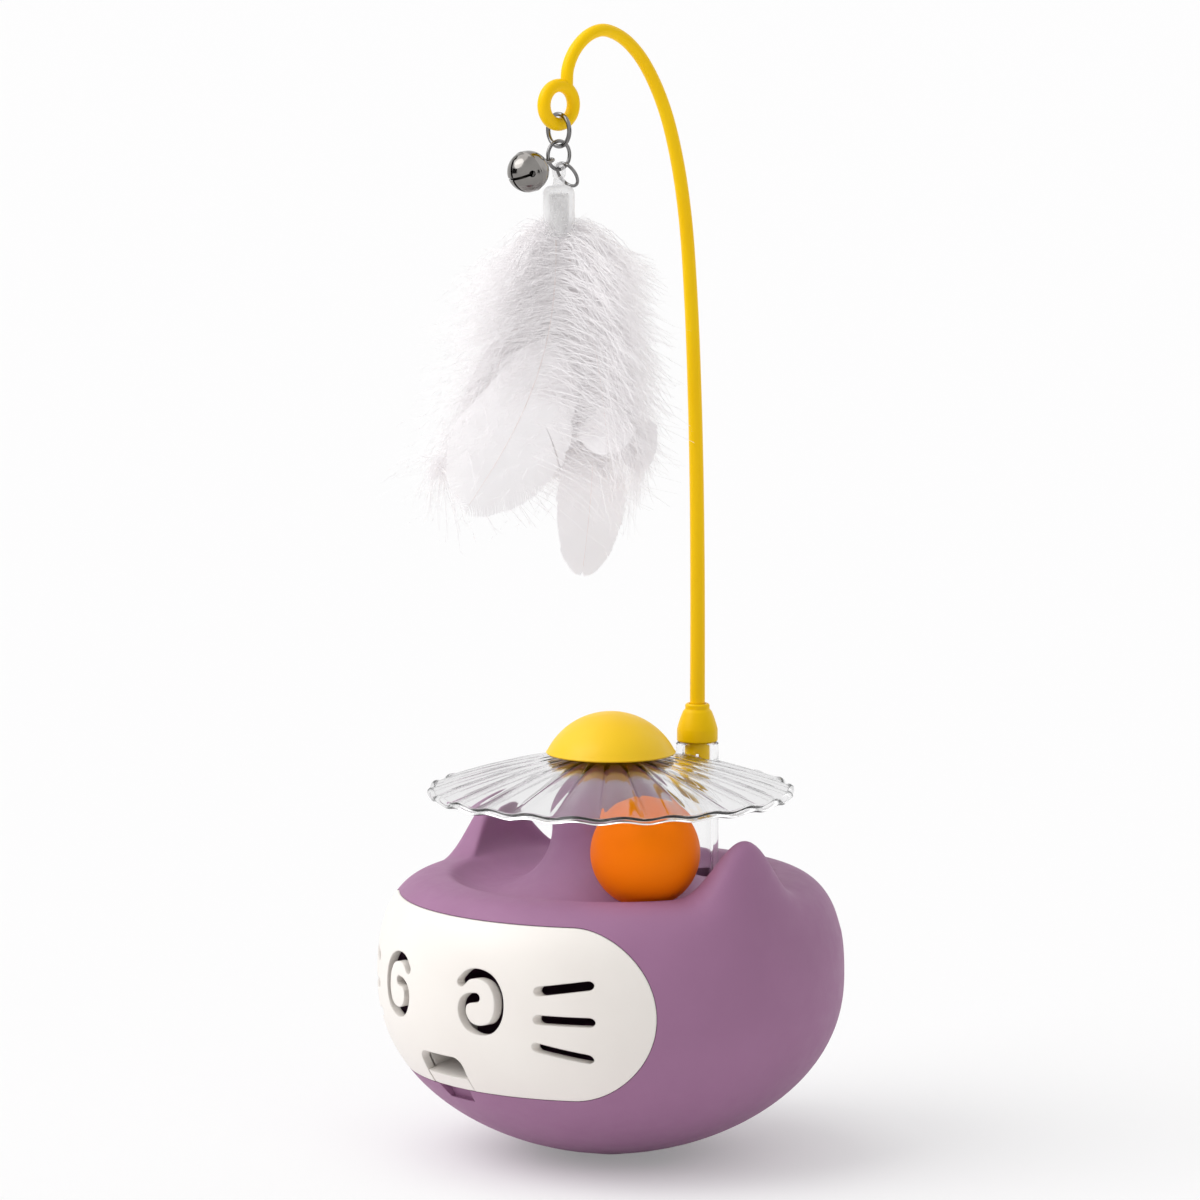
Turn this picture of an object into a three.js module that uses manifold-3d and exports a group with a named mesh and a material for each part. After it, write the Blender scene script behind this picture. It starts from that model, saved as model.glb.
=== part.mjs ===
// Wobble cat toy: a weighted, rocking body with a ball track, a clear fluted canopy and a feather wand.
// Millimetres, +Z up. The origin is the middle of the foot and the face looks along -Y.
import * as THREE from 'three';
import { mergeVertices } from 'three/addons/utils/BufferGeometryUtils.js';
import Module from 'manifold-3d';

const wasm = await Module();
wasm.setup();

// Fits
const GAP = 0.3;                       // between two pieces that rest on each other
const SLIDE_FIT = 0.4;                 // round a piece that slides or turns in a hole
const SNAP_FIT = 0.4;                  // round the face mask and the chute in their cut-outs

// Body shell
const BELLY_RADIUS = 62.4;
const BELLY_HEIGHT = 48;               // height of the widest circle
const LOWER_HEIGHT_POWER = 2.2;        // roundness of the bowl below the widest circle
const LOWER_RADIUS_POWER = 1.8;
const UPPER_POWER = 2.5;               // roundness of the shoulder above it
const SHELL_WALL = 2.4;
const RIM_RISE = 27.1;                 // from the widest circle up to the rim's crest between the ears
const RIM_LIP = 0.9;                   // the crest above the end of the channel
const RIM_WIDTH = 3.2;                 // from the channel's end out to the crest

// Ears
const EAR_TIP_OUTSET = 3.4;            // from the ball's way round out to the tip
const EAR_TIP_RISE = 15.3;             // the tip above the rim's crest
const EAR_TURN = 3;                    // degrees that each tip stands behind the side's middle
const EAR_ROOT_DROP = 13.1;            // the ear's outer foot below the rim's crest
const EAR_TIP_ROUND = 3;               // radius of the rounded tip
const EAR_REACH = 18;                  // along the rim, from the tip to the ear's foot
const EAR_FOOT_INSET = 4.6;             // from the channel's end out to the ear's inner foot
const EAR_FOOT_RISE = 2.2;             // the inner foot above the rim's crest
const EAR_SPREAD_POWER = 0.55;          // the ear's foot spreads outward sooner than it rises

// Deck, ball track and post
const TRACK_RADIUS = 32;
const CHANNEL_DEPTH = 4;               // from the rim's crest down to the channel's lowest line
const BALL_RADIUS = 14.4;
const BALL_SIDE_ROOM = 2;              // between the ball and the channel's round wall
const BALL_HEADROOM = 5;               // from the top of the ball up to the top of the post
const POST_SHOULDER_RISE = 3.5;        // from the end of the channel's wall up to the post's shoulder
const POST_TOP_RADIUS = 9.4;
const POST_NECK_DEPTH = 9;             // length of the narrow bore under the post's top
const BALL_BEARING = -25;              // degrees from +X, seen from above

// Base
const FOOT_RADIUS = 8;
const BASE_CAP_RADIUS = 26;
const BASE_CAP_WALL = 2.2;
const BASE_PLATE_HEIGHT = 7.2;         // underside of the shell's bottom plate
const BASE_PLATE_HOLE = 11;
const WEIGHT_RADIUS = 27;
const WEIGHT_THICKNESS = 9;
const WEIGHT_HOLE = 6;
const WEIGHT_CHAMFER = 1.2;
const SCREW_HEAD_RADIUS = 3.4;
const SCREW_HEAD_HEIGHT = 1.7;
const SCREW_SHANK_RADIUS = 1.5;
const SCREW_LENGTH = 12.5;             // under the head
const SCREW_SLOT = 0.9;
const SCREW_WELL_RADIUS = 4.3;
const SCREW_WELL_WALL = 1.5;
const SCREW_WELL_FLOOR = 1.3;          // plastic over the head, which lies inside the bowl's surface
const SCREW_WELL_BITE = 0.8;           // the wells run this far into the cap's rim

// Face mask
const MASK_WALL = 2.6;
const MASK_TOP_MARGIN = 4.7;           // from the mask's upper edge up to the rim's crest
const MASK_HALF_HEIGHT = 22.9;
const MASK_STRAIGHT = 42;              // from the middle to where the rounded end starts, along the belly
const MASK_LEDGE = 4;                  // width of the ledge that the mask's edge lies on
const LEDGE_WALL = 2;
const LEDGE_SKIRT = 3.5;               // how far the ledge's plastic reaches past the mask's outline
const EYE_SLOT = 2.6;
// Across from the face's middle and up from the mask's middle.
const EYE_PATH = [[10.8, 7.5], [12.9, 9.5], [15.9, 10.1], [19.5, 9.0], [21.8, 5.9], [22.4, 2.7], [21.9, -0.9],
  [19.9, -3.7], [16.5, -4.7], [13.3, -3.8], [11.4, -0.9], [11.6, 2.0], [13.2, 3.4], [15.6, 3.8]];
const WHISKER_SLOT = 2.5;
const WHISKERS = [[[32.3, 7.0], [42.4, 8.9]], [[32.3, -0.4], [42.9, -0.6]], [[31.4, -7.8], [41.6, -10.4]]];

// Mouth, chute and finger notch
const MOUTH_RISE = 9.4;                // from the mask's lower edge up to the top of the mouth
const MOUTH_HALF_WIDTH = 8.3;
const MOUTH_CORNER = 2.8;
const SILL_RISE = 3.4;                 // from the mask's lower edge up to the sill's front edge
const CHUTE_SLOPE = 0.24;              // rise of the chute's floor for each millimetre inward
const CHUTE_FLOOR = 1.6;
const CHUTE_LENGTH = 15;
const CHUTE_HALF_WIDTH = 9.8;
const CHUTE_SIDE = 1.5;
const CHUTE_SIDE_HEIGHT = 7;
const NOTCH_TOP_HALF_WIDTH = 6.3;
const NOTCH_BOTTOM_HALF_WIDTH = 4.8;
const NOTCH_DROP = 3.7;                // from the mask's lower edge down to the bottom of the notch
const NOTCH_DEPTH = 3;

// Canopy and dome cap
const CANOPY_OVERHANG = 17;            // from the ball's middle circle out to the canopy's edge
const CANOPY_WALL = 1;
const CANOPY_DROP = 8.8;               // from the hub down to the edge
const CANOPY_CURVE_POWER = 1.5;
const CANOPY_HUB_RADIUS = 12;
const FLUTES = 24;
const FLUTE_DEPTH = 0.4;
const FLUTE_SCALLOP = 0.8;
const DOME_RADIUS = 17.3;
const DOME_RISE = 11.1;
const DOME_LIFT = 0.8;                 // the dome's edge above the canopy's hub
const DOME_BOSS_RADIUS = 9;
const DOME_PLUG_RADIUS = 6.4;
const DOME_PLUG_LENGTH = 8.5;

// Wand
const TUBE_INSET = 1;                  // the tube stands this far inside the ball's middle circle
const TUBE_RADIUS = 5.75;
const TUBE_BORE = 3.75;
const TUBE_STAND = 0.5;                // the tube's top above the canopy's hub
const SOCKET_DEPTH = 7.6;               // below the channel
const SOCKET_WALL = 2;
const FERRULE_RADIUS = 5.5;
const FERRULE_HEIGHT = 10.3;
const FERRULE_SKIRT = 3.3;
const FERRULE_COLLAR_RADIUS = 3.3;
const FERRULE_PLUG_LENGTH = 14;
const FERRULE_PLUG_SPLIT = 0.8;
const FERRULE_SPLIT_LENGTH = 11;
const ROD_BASE_RADIUS = 2.05;
const ROD_TIP_RADIUS = 1.65;
const ROD_SEAT = 2;                    // the rod's end above the ferrule's lower face
// The rod's centre line: forward of the tube's axis (minus is back) and above the ferrule's lower face.
const ROD_PATH = [[0, 6], [0, 38], [0.4, 68], [1.2, 93], [2.6, 119], [4.7, 141], [7.8, 157], [11.9, 169.7],
  [16.9, 179.2], [22.0, 185.6], [27.8, 189.9], [33.9, 191.7], [39.2, 190.3], [43.6, 186.6], [46.0, 182.0],
  [46.4, 176.9]];
const EYELET_RADIUS = 5.05;            // centre line
const EYELET_WIRE_RADIUS = 1.75;
const EYELET_JOIN_ANGLE = 57;          // where the rod runs into the ring, from +Y

// Links, bell and feather holder
const UPPER_RING = { radius: 4.2, wire: 0.6 };
const LOWER_RING = { radius: 3.7, wire: 0.5 };
const SIDE_RING = { radius: 3.5, wire: 0.45, hangAngle: -60 };
const BELL_RADIUS = 5.55;
const BELL_WALL = 0.5;
const BELL_HANG_ANGLE = -160;          // where the bell's loop sits on the lower ring, from +Y
const BELL_LOOP_RADIUS = 1.55;
const BELL_LOOP_WIRE = 0.4;
const BELL_SLOT = 0.8;
const BELL_SLOT_ANGLE = 62;            // from the bell's bottom to the end of a slot
const BELL_SLOT_END = 0.9;
const BELL_SLOT_TURN = 83;             // of the first slot about the bell's own axis
const PELLET_RADIUS = 1.3;
const HOLDER_RADIUS = 4.2;
const HOLDER_LENGTH = 13.2;
const HOLDER_BORE = 2.75;
const HOLDER_SHOULDER = 1.6;
const HOLDER_LOOP_RADIUS = 1.95;
const HOLDER_LOOP_WIRE = 0.55;
const HOLDER_NECK_RADIUS = 1.5;
const HOLDER_ROOF = 2;
const PLUG_LENGTH = 10.4;

// Feathers
// They fan out in an upright plane turned FAN_TURN from +X. A root is across and towards the viewer, a tip is
// across, towards and down, and a bow is sideways.
const FAN_TURN = 48.8;
const QUILL_RADIUS = 0.45;
const VANE_THICKNESS = 0.9;
const BARE_QUILL = 0.1;                // share of a feather that carries no vane
const FEATHER_NAMES = ['front', 'front_right', 'left', 'right', 'back', 'long'];
const FEATHER_ROOTS = [[-0.8, 1.6], [0.8, 0.9], [-0.8, 0.35], [0.8, -0.35], [-0.8, -0.9], [0.8, -1.6]];
const FEATHER_TIPS = [[-25, 10, 72], [13, 6, 57], [-36, 2, 70], [24, -2, 64], [-8, -6, 62], [6, -10, 91]];
const FEATHER_BOWS = [4, 4, -2, 5, -5, 6];
const FEATHER_WIDTHS = [32, 30, 24, 28, 32, 22];

// Finishes
const PURPLE = { color: 0xa2729a, roughness: 0.55 };
const WHITE = { color: 0xf3eee8, roughness: 0.4 };
const YELLOW = { color: 0xfcd131, roughness: 0.35 };
const ORANGE = { color: 0xfb7b0a, roughness: 0.35 };
const CLEAR = { color: 0xdfe3e6, roughness: 0.08, transparent: true, opacity: 0.45 };
const STEEL = { color: 0xbfc0c2, roughness: 0.25, metalness: 1 };
const FEATHER = { color: 0xf6f4f3, roughness: 0.9 };

// Shape helpers

/** Turns a geometry's faces outward and leaves positions only, with shared vertices merged. */
function closedGeometry(source) {
  const bare = source.clone();
  bare.deleteAttribute('normal');
  bare.deleteAttribute('uv');
  const welded = mergeVertices(bare, 1e-4);
  const position = welded.attributes.position;
  const corner = (index) => new THREE.Vector3().fromBufferAttribute(position, index);
  const index = [];
  let volume = 0;
  for (let i = 0; i < welded.index.count; i += 3) {
    const [a, b, c] = [0, 1, 2].map((step) => welded.index.getX(i + step));
    if (a === b || b === c || c === a) continue;
    volume += corner(a).dot(corner(b).cross(corner(c)));
    index.push(a, b, c);
  }
  if (volume < 0) {
    index.reverse();
  }
  const geometry = new THREE.BufferGeometry();
  geometry.setAttribute('position', position.clone());
  geometry.setIndex(index);
  return geometry;
}

/** A solid that can be joined and cut. */
function toSolid(geometry) {
  const closed = closedGeometry(geometry);
  return new wasm.Manifold(new wasm.Mesh({
    numProp: 3,
    vertProperties: Float32Array.from(closed.attributes.position.array),
    triVerts: Uint32Array.from(closed.index.array),
  }));
}

/** The geometry of a joined or cut solid. */
function fromSolid(solid) {
  const mesh = solid.getMesh();
  const geometry = new THREE.BufferGeometry();
  geometry.setAttribute('position', new THREE.BufferAttribute(Float32Array.from(mesh.vertProperties), 3));
  geometry.setIndex(Array.from(mesh.triVerts));
  return geometry;
}

/** A profile of [radius, height] pairs turned round the Z axis. */
function revolve(profile, segments) {
  const points = profile.map(([radius, height]) => new THREE.Vector2(radius, height));
  return closedGeometry(new THREE.LatheGeometry(points, segments).rotateX(Math.PI / 2));
}

/** A tube with flat ends: outer and inner radius between two heights. */
function sleeve(outer, inner, bottom, top, segments) {
  return revolve([[inner, bottom], [outer, bottom], [outer, top], [inner, top], [inner, bottom]], segments);
}

/** A solid cylinder between two heights. */
function rod(radius, bottom, top, segments) {
  return revolve([[0, bottom], [radius, bottom], [radius, top], [0, top]], segments);
}

/** A ring whose closed section changes as it goes round: sectionAt(angle) gives [radius, height] pairs. */
function ringSolid(angles, sectionAt) {
  const position = [];
  const index = [];
  const sections = angles.map(sectionAt);
  const count = sections[0].length;
  angles.forEach((angle, i) => {
    for (const [radius, height] of sections[i]) {
      position.push(radius * Math.cos(angle), radius * Math.sin(angle), height);
    }
  });
  for (let i = 0; i < angles.length; i += 1) {
    const next = (i + 1) % angles.length;
    for (let k = 0; k < count; k += 1) {
      const up = (k + 1) % count;
      const [a, b, c, d] = [i * count + k, next * count + k, next * count + up, i * count + up];
      index.push(a, b, c, a, c, d);
    }
  }
  const geometry = new THREE.BufferGeometry();
  geometry.setAttribute('position', new THREE.Float32BufferAttribute(position, 3));
  geometry.setIndex(index);
  return closedGeometry(geometry);
}

/** A solid through a row of closed rings of points, with flat ends. */
function loft(rings) {
  const count = rings[0].length;
  const position = rings.flat().flatMap((point) => [point.x, point.y, point.z]);
  const index = [];
  for (let i = 0; i + 1 < rings.length; i += 1) {
    for (let k = 0; k < count; k += 1) {
      const up = (k + 1) % count;
      const [a, b, c, d] = [i * count + k, i * count + up, (i + 1) * count + up, (i + 1) * count + k];
      index.push(a, b, c, a, c, d);
    }
  }
  const last = (rings.length - 1) * count;
  for (let k = 1; k + 1 < count; k += 1) {
    index.push(0, k + 1, k, last, last + k, last + k + 1);
  }
  const geometry = new THREE.BufferGeometry();
  geometry.setAttribute('position', new THREE.Float32BufferAttribute(position, 3));
  geometry.setIndex(index);
  return closedGeometry(geometry);
}

/** A curved plate: pointAt(u, v, side) gives its two faces, side 0 and side 1. */
function plateSolid(us, vs, pointAt) {
  const position = [];
  const index = [];
  const at = (side, i, k) => (side * us.length + i) * vs.length + k;
  for (const side of [0, 1]) {
    for (const u of us) {
      for (const v of vs) {
        const point = pointAt(u, v, side);
        position.push(point.x, point.y, point.z);
      }
    }
  }
  const quad = (a, b, c, d) => index.push(a, b, c, a, c, d);
  const lastU = us.length - 1;
  const lastV = vs.length - 1;
  for (let i = 0; i < lastU; i += 1) {
    for (let k = 0; k < lastV; k += 1) {
      quad(at(0, i, k), at(0, i + 1, k), at(0, i + 1, k + 1), at(0, i, k + 1));
      quad(at(1, i, k), at(1, i, k + 1), at(1, i + 1, k + 1), at(1, i + 1, k));
    }
    quad(at(1, i, 0), at(1, i + 1, 0), at(0, i + 1, 0), at(0, i, 0));
    quad(at(0, i, lastV), at(0, i + 1, lastV), at(1, i + 1, lastV), at(1, i, lastV));
  }
  for (let k = 0; k < lastV; k += 1) {
    quad(at(0, 0, k), at(0, 0, k + 1), at(1, 0, k + 1), at(1, 0, k));
    quad(at(1, lastU, k), at(1, lastU, k + 1), at(0, lastU, k + 1), at(0, lastU, k));
  }
  const geometry = new THREE.BufferGeometry();
  geometry.setAttribute('position', new THREE.Float32BufferAttribute(position, 3));
  geometry.setIndex(index);
  return closedGeometry(geometry);
}

/** A flat outline of [x, z] pairs pushed along Y from one depth to another. */
function prismAlongY(outline, from, to) {
  const shape = new THREE.Shape(outline.map(([x, z]) => new THREE.Vector2(x, z)));
  const geometry = new THREE.ExtrudeGeometry(shape, { depth: to - from, bevelEnabled: false });
  return closedGeometry(geometry.rotateX(Math.PI / 2).translate(0, to, 0));
}

/** A flat outline of [y, z] pairs pushed along X, equally to both sides. */
function prismAlongX(outline, halfWidth) {
  const shape = new THREE.Shape(outline.map(([y, z]) => new THREE.Vector2(y, z)));
  const geometry = new THREE.ExtrudeGeometry(shape, { depth: 2 * halfWidth, bevelEnabled: false });
  geometry.applyMatrix4(new THREE.Matrix4().makeBasis(
    new THREE.Vector3(0, 1, 0), new THREE.Vector3(0, 0, 1), new THREE.Vector3(1, 0, 0)));
  return closedGeometry(geometry.translate(-halfWidth, 0, 0));
}

/** The outline of a slot with round ends along a path of [x, z] pairs. */
function slotOutline(path, width, steps) {
  const curve = new THREE.SplineCurve(path.map(([x, z]) => new THREE.Vector2(x, z)));
  const left = [];
  const right = [];
  for (let i = 0; i <= steps; i += 1) {
    const middle = curve.getPointAt(i / steps);
    const along = curve.getTangentAt(i / steps);
    left.push([middle.x - along.y * width / 2, middle.y + along.x * width / 2]);
    right.push([middle.x + along.y * width / 2, middle.y - along.x * width / 2]);
  }
  const roundEnd = (t, turn) => {
    const middle = curve.getPointAt(t);
    const along = curve.getTangentAt(t);
    const start = Math.atan2(along.y, along.x) + turn;
    return [-60, -30, 0, 30, 60].map((step) => {
      const angle = start - THREE.MathUtils.degToRad(step);
      return [middle.x + Math.cos(angle) * width / 2, middle.y + Math.sin(angle) * width / 2];
    });
  };
  return [...left, ...roundEnd(1, 0), ...right.reverse(), ...roundEnd(0, Math.PI)];
}

/** Evenly spaced numbers from start to end, both included. */
function steps(start, end, count) {
  return Array.from({ length: count + 1 }, (_, i) => start + (end - start) * i / count);
}

function named(name, geometry, finish) {
  const mesh = new THREE.Mesh(geometry, new THREE.MeshStandardMaterial(finish));
  mesh.name = name;
  return mesh;
}

// Places that follow from the sizes

const rimHeight = BELLY_HEIGHT + RIM_RISE;
const earTipRadius = TRACK_RADIUS + BALL_RADIUS + EAR_TIP_OUTSET;
const earTipHeight = rimHeight + EAR_TIP_RISE;
const earRootHeight = rimHeight - EAR_ROOT_DROP;
const earTurn = THREE.MathUtils.degToRad(EAR_TURN);
const earAngles = [earTurn, Math.PI - earTurn, 2 * Math.PI + earTurn];
const channelRadius = BALL_RADIUS + BALL_SIDE_ROOM;
const deckHeight = rimHeight - CHANNEL_DEPTH;
const channelMiddle = deckHeight + channelRadius;
const channelEndAngle = Math.asin((rimHeight - RIM_LIP - channelMiddle) / channelRadius);
const channelEnd = [TRACK_RADIUS + channelRadius * Math.cos(channelEndAngle), rimHeight - RIM_LIP];
const rimRadius = channelEnd[0] + RIM_WIDTH;
const ballHeight = deckHeight + GAP + BALL_RADIUS;
const postRadius = TRACK_RADIUS - channelRadius;
const postShoulder = channelMiddle + POST_SHOULDER_RISE;
const postTop = ballHeight + BALL_RADIUS + BALL_HEADROOM;
const postBore = DOME_PLUG_RADIUS + SLIDE_FIT;
const plateTop = BASE_PLATE_HEIGHT + SHELL_WALL;
const capSeatRadius = BASE_CAP_RADIUS + GAP;
const maskMiddle = rimHeight - MASK_TOP_MARGIN - MASK_HALF_HEIGHT;
const maskBottom = maskMiddle - MASK_HALF_HEIGHT;
const notchBottom = maskBottom - NOTCH_DROP;
const canopyHubTop = postTop + GAP + CANOPY_WALL;
const canopyRadius = TRACK_RADIUS + CANOPY_OVERHANG;
const tubeOffset = TRACK_RADIUS - TUBE_INSET;
const tubeTop = canopyHubTop + TUBE_STAND;
const ferruleBottom = tubeTop + GAP;

// Body outline

/** Outer radius of the body at a height, between the ears. */
function bodyRadius(height) {
  if (height < BELLY_HEIGHT) {
    const fall = Math.pow(1 - Math.max(height, 0) / BELLY_HEIGHT, LOWER_HEIGHT_POWER);
    return BELLY_RADIUS * Math.pow(1 - fall, 1 / LOWER_RADIUS_POWER);
  }
  const rise = Math.min((height - BELLY_HEIGHT) / (rimHeight - BELLY_HEIGHT), 1);
  return rimRadius + (BELLY_RADIUS - rimRadius) * Math.pow(1 - Math.pow(rise, UPPER_POWER), 1 / UPPER_POWER);
}

/** Height of the bowl's outer surface at a radius, below the widest circle. */
function bowlHeight(radius) {
  const share = Math.pow(radius / BELLY_RADIUS, LOWER_RADIUS_POWER);
  return BELLY_HEIGHT * (1 - Math.pow(1 - share, 1 / LOWER_HEIGHT_POWER));
}

/** Share of the full ear height at a distance along the rim from the ear's middle. */
function earShare(distance) {
  return 0.5 + 0.5 * Math.cos(Math.PI * Math.min(distance / EAR_REACH, 1));
}

/** The rim and the ear, each from its root on the outside over the crest, short of the channel's end. */
function crestLines() {
  const rim = [];
  for (const t of steps(0, 1, 5)) {
    const height = earRootHeight + (rimHeight - earRootHeight) * Math.sin(t * Math.PI / 2);
    rim.push([bodyRadius(height), height]);
  }
  const inward = rimRadius - channelEnd[0];
  rim.push([rimRadius - inward * 0.3, rimHeight - RIM_LIP * 0.05]);
  rim.push([rimRadius - inward * 0.65, rimHeight - RIM_LIP * 0.35]);

  const root = bodyRadius(earRootHeight);
  const rise = earTipHeight - earRootHeight;
  const roundOut = EAR_TIP_ROUND * Math.sin(Math.PI / 3);
  const roundDown = EAR_TIP_ROUND * (1 - Math.cos(Math.PI / 3));
  const outside = new THREE.CubicBezierCurve(
    new THREE.Vector2(root, earRootHeight),
    new THREE.Vector2(root - rise * 0.12, earRootHeight + rise * 0.28),
    new THREE.Vector2(earTipRadius + roundOut + rise * 0.06, earTipHeight - rise * 0.26),
    new THREE.Vector2(earTipRadius + roundOut, earTipHeight - roundDown),
  );
  const ear = steps(0, 1, 4).map((t) => outside.getPoint(t).toArray());
  ear.push([earTipRadius, earTipHeight]);
  ear.push([earTipRadius - roundOut, earTipHeight - roundDown]);
  ear.push([channelEnd[0] + EAR_FOOT_INSET, rimHeight + EAR_FOOT_RISE]);
  return { rim, ear };
}

/** The shell's closed section at an angle round the axis. */
function shellSection(angle) {
  const onChannel = (radius, turn) => [
    TRACK_RADIUS + radius * Math.cos(turn),
    channelMiddle + radius * Math.sin(turn),
  ];
  const { rim, ear } = crestLines();
  const share = earShare(Math.min(...earAngles.map((middle) => Math.abs(angle - middle))) * earTipRadius);
  const spread = Math.pow(share, EAR_SPREAD_POWER);
  const crest = rim.map(([radius, height], i) => [
    radius + (ear[i][0] - radius) * spread, height + (ear[i][1] - height) * share]);

  const section = [[BASE_PLATE_HOLE, BASE_PLATE_HEIGHT], [capSeatRadius, BASE_PLATE_HEIGHT]];
  for (const t of steps(0, 1, 8)) {
    const start = bowlHeight(capSeatRadius);
    const height = start + (BELLY_HEIGHT - start) * Math.pow(t, 1.45);
    section.push([bodyRadius(height), height]);
  }
  section.push([bodyRadius((BELLY_HEIGHT + earRootHeight) / 2), (BELLY_HEIGHT + earRootHeight) / 2]);
  section.push(...crest, channelEnd);
  for (const turn of steps(channelEndAngle, -Math.PI, 6).slice(1)) {
    section.push(onChannel(channelRadius, turn));
  }
  for (const t of steps(0, 1, 4)) {
    section.push([
      POST_TOP_RADIUS + (postRadius - POST_TOP_RADIUS) * Math.pow(Math.cos(t * Math.PI / 2), 0.8),
      postShoulder + (postTop - postShoulder) * Math.sin(t * Math.PI / 2)]);
  }
  section.push([postBore, postTop], [postBore, postTop - POST_NECK_DEPTH]);
  section.push([postRadius - SHELL_WALL, postShoulder - SHELL_WALL * 2]);
  for (const turn of steps(-Math.PI, -Math.PI * 0.34, 5).slice(1)) {
    section.push(onChannel(channelRadius + SHELL_WALL, turn));
  }
  const underRim = rimHeight - SHELL_WALL * 2.6;
  section.push([bodyRadius(underRim) - SHELL_WALL * 1.5, underRim]);
  for (const height of steps(underRim - SHELL_WALL * 2, plateTop, 5)) {
    section.push([bodyRadius(height) - SHELL_WALL, height]);
  }
  section.push([BASE_PLATE_HOLE, plateTop]);
  return section;
}

// Face patch

/** A piece of the body's skin with the mask's outline, grown by outset, between two depths. */
function facePatch(outset, outerDepth, innerDepth) {
  const endRadius = MASK_HALF_HEIGHT + outset;
  const ends = steps(0, 80, 5).slice(1).map((turn) => THREE.MathUtils.degToRad(turn));
  const stations = [
    ...ends
      .map((turn) => [-MASK_STRAIGHT - endRadius * Math.sin(turn), endRadius * Math.cos(turn)])
      .reverse(),
    ...steps(-MASK_STRAIGHT, MASK_STRAIGHT, 10).map((along) => [along, endRadius]),
    ...ends.map((turn) => [MASK_STRAIGHT + endRadius * Math.sin(turn), endRadius * Math.cos(turn)]),
  ];
  return plateSolid(stations, steps(-1, 1, 6), ([along, half], v, side) => {
    const height = maskMiddle + half * v;
    const radius = bodyRadius(height) - (side === 0 ? outerDepth : innerDepth);
    const turn = along / BELLY_RADIUS;
    return new THREE.Vector3(radius * Math.sin(turn), -radius * Math.cos(turn), height);
  });
}

/** The body's bowl and shoulder as a solid, drawn in by a depth, for trimming pieces flush. */
function bodyBlank(depth) {
  const top = maskMiddle + MASK_HALF_HEIGHT;
  const outline = steps(bowlHeight(BASE_CAP_RADIUS), top, 14)
    .map((height) => [bodyRadius(height) - depth, height]);
  return toSolid(revolve([[0, outline[0][1]], ...outline, [0, top]], 60));
}

/** The mouth's outline, open downwards past the mask's lower edge. */
function mouthOutline() {
  const bottom = maskBottom - SHELL_WALL;
  const top = maskBottom + MOUTH_RISE;
  const corner = (side) => steps(0, 90, 3).map((step) => {
    const turn = THREE.MathUtils.degToRad(step);
    return [side * (MOUTH_HALF_WIDTH - MOUTH_CORNER * (1 - Math.cos(turn))),
      top - MOUTH_CORNER * (1 - Math.sin(turn))];
  });
  return [[-MOUTH_HALF_WIDTH, bottom], [MOUTH_HALF_WIDTH, bottom], ...corner(1), ...corner(-1).reverse()];
}

// Body pieces

const screwSides = [-1, 1];
const screwBoss = SCREW_WELL_RADIUS + SCREW_WELL_WALL;
const screwOffset = BASE_CAP_RADIUS - BASE_CAP_WALL - screwBoss + SCREW_WELL_BITE;
const farFront = -(BELLY_RADIUS + SHELL_WALL);
const sillTop = maskBottom + SILL_RISE;
const sillFront = -bodyRadius(sillTop);
const floorAt = (y) => sillTop + (y - sillFront) * CHUTE_SLOPE;
const chuteEnd = sillFront + MASK_WALL + CHUTE_LENGTH;

/** The chute's sloping floor as a prism, grown by a clearance. */
function chuteFloor(clearance) {
  const halfWidth = CHUTE_HALF_WIDTH + clearance;
  return toSolid(prismAlongX([
    [sillFront, floorAt(sillFront) - CHUTE_FLOOR - clearance],
    [chuteEnd + clearance, floorAt(chuteEnd) - CHUTE_FLOOR - clearance],
    [chuteEnd + clearance, floorAt(chuteEnd) + CHUTE_SIDE_HEIGHT],
    [sillFront, floorAt(sillFront) + CHUTE_SIDE_HEIGHT],
  ], halfWidth));
}

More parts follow.
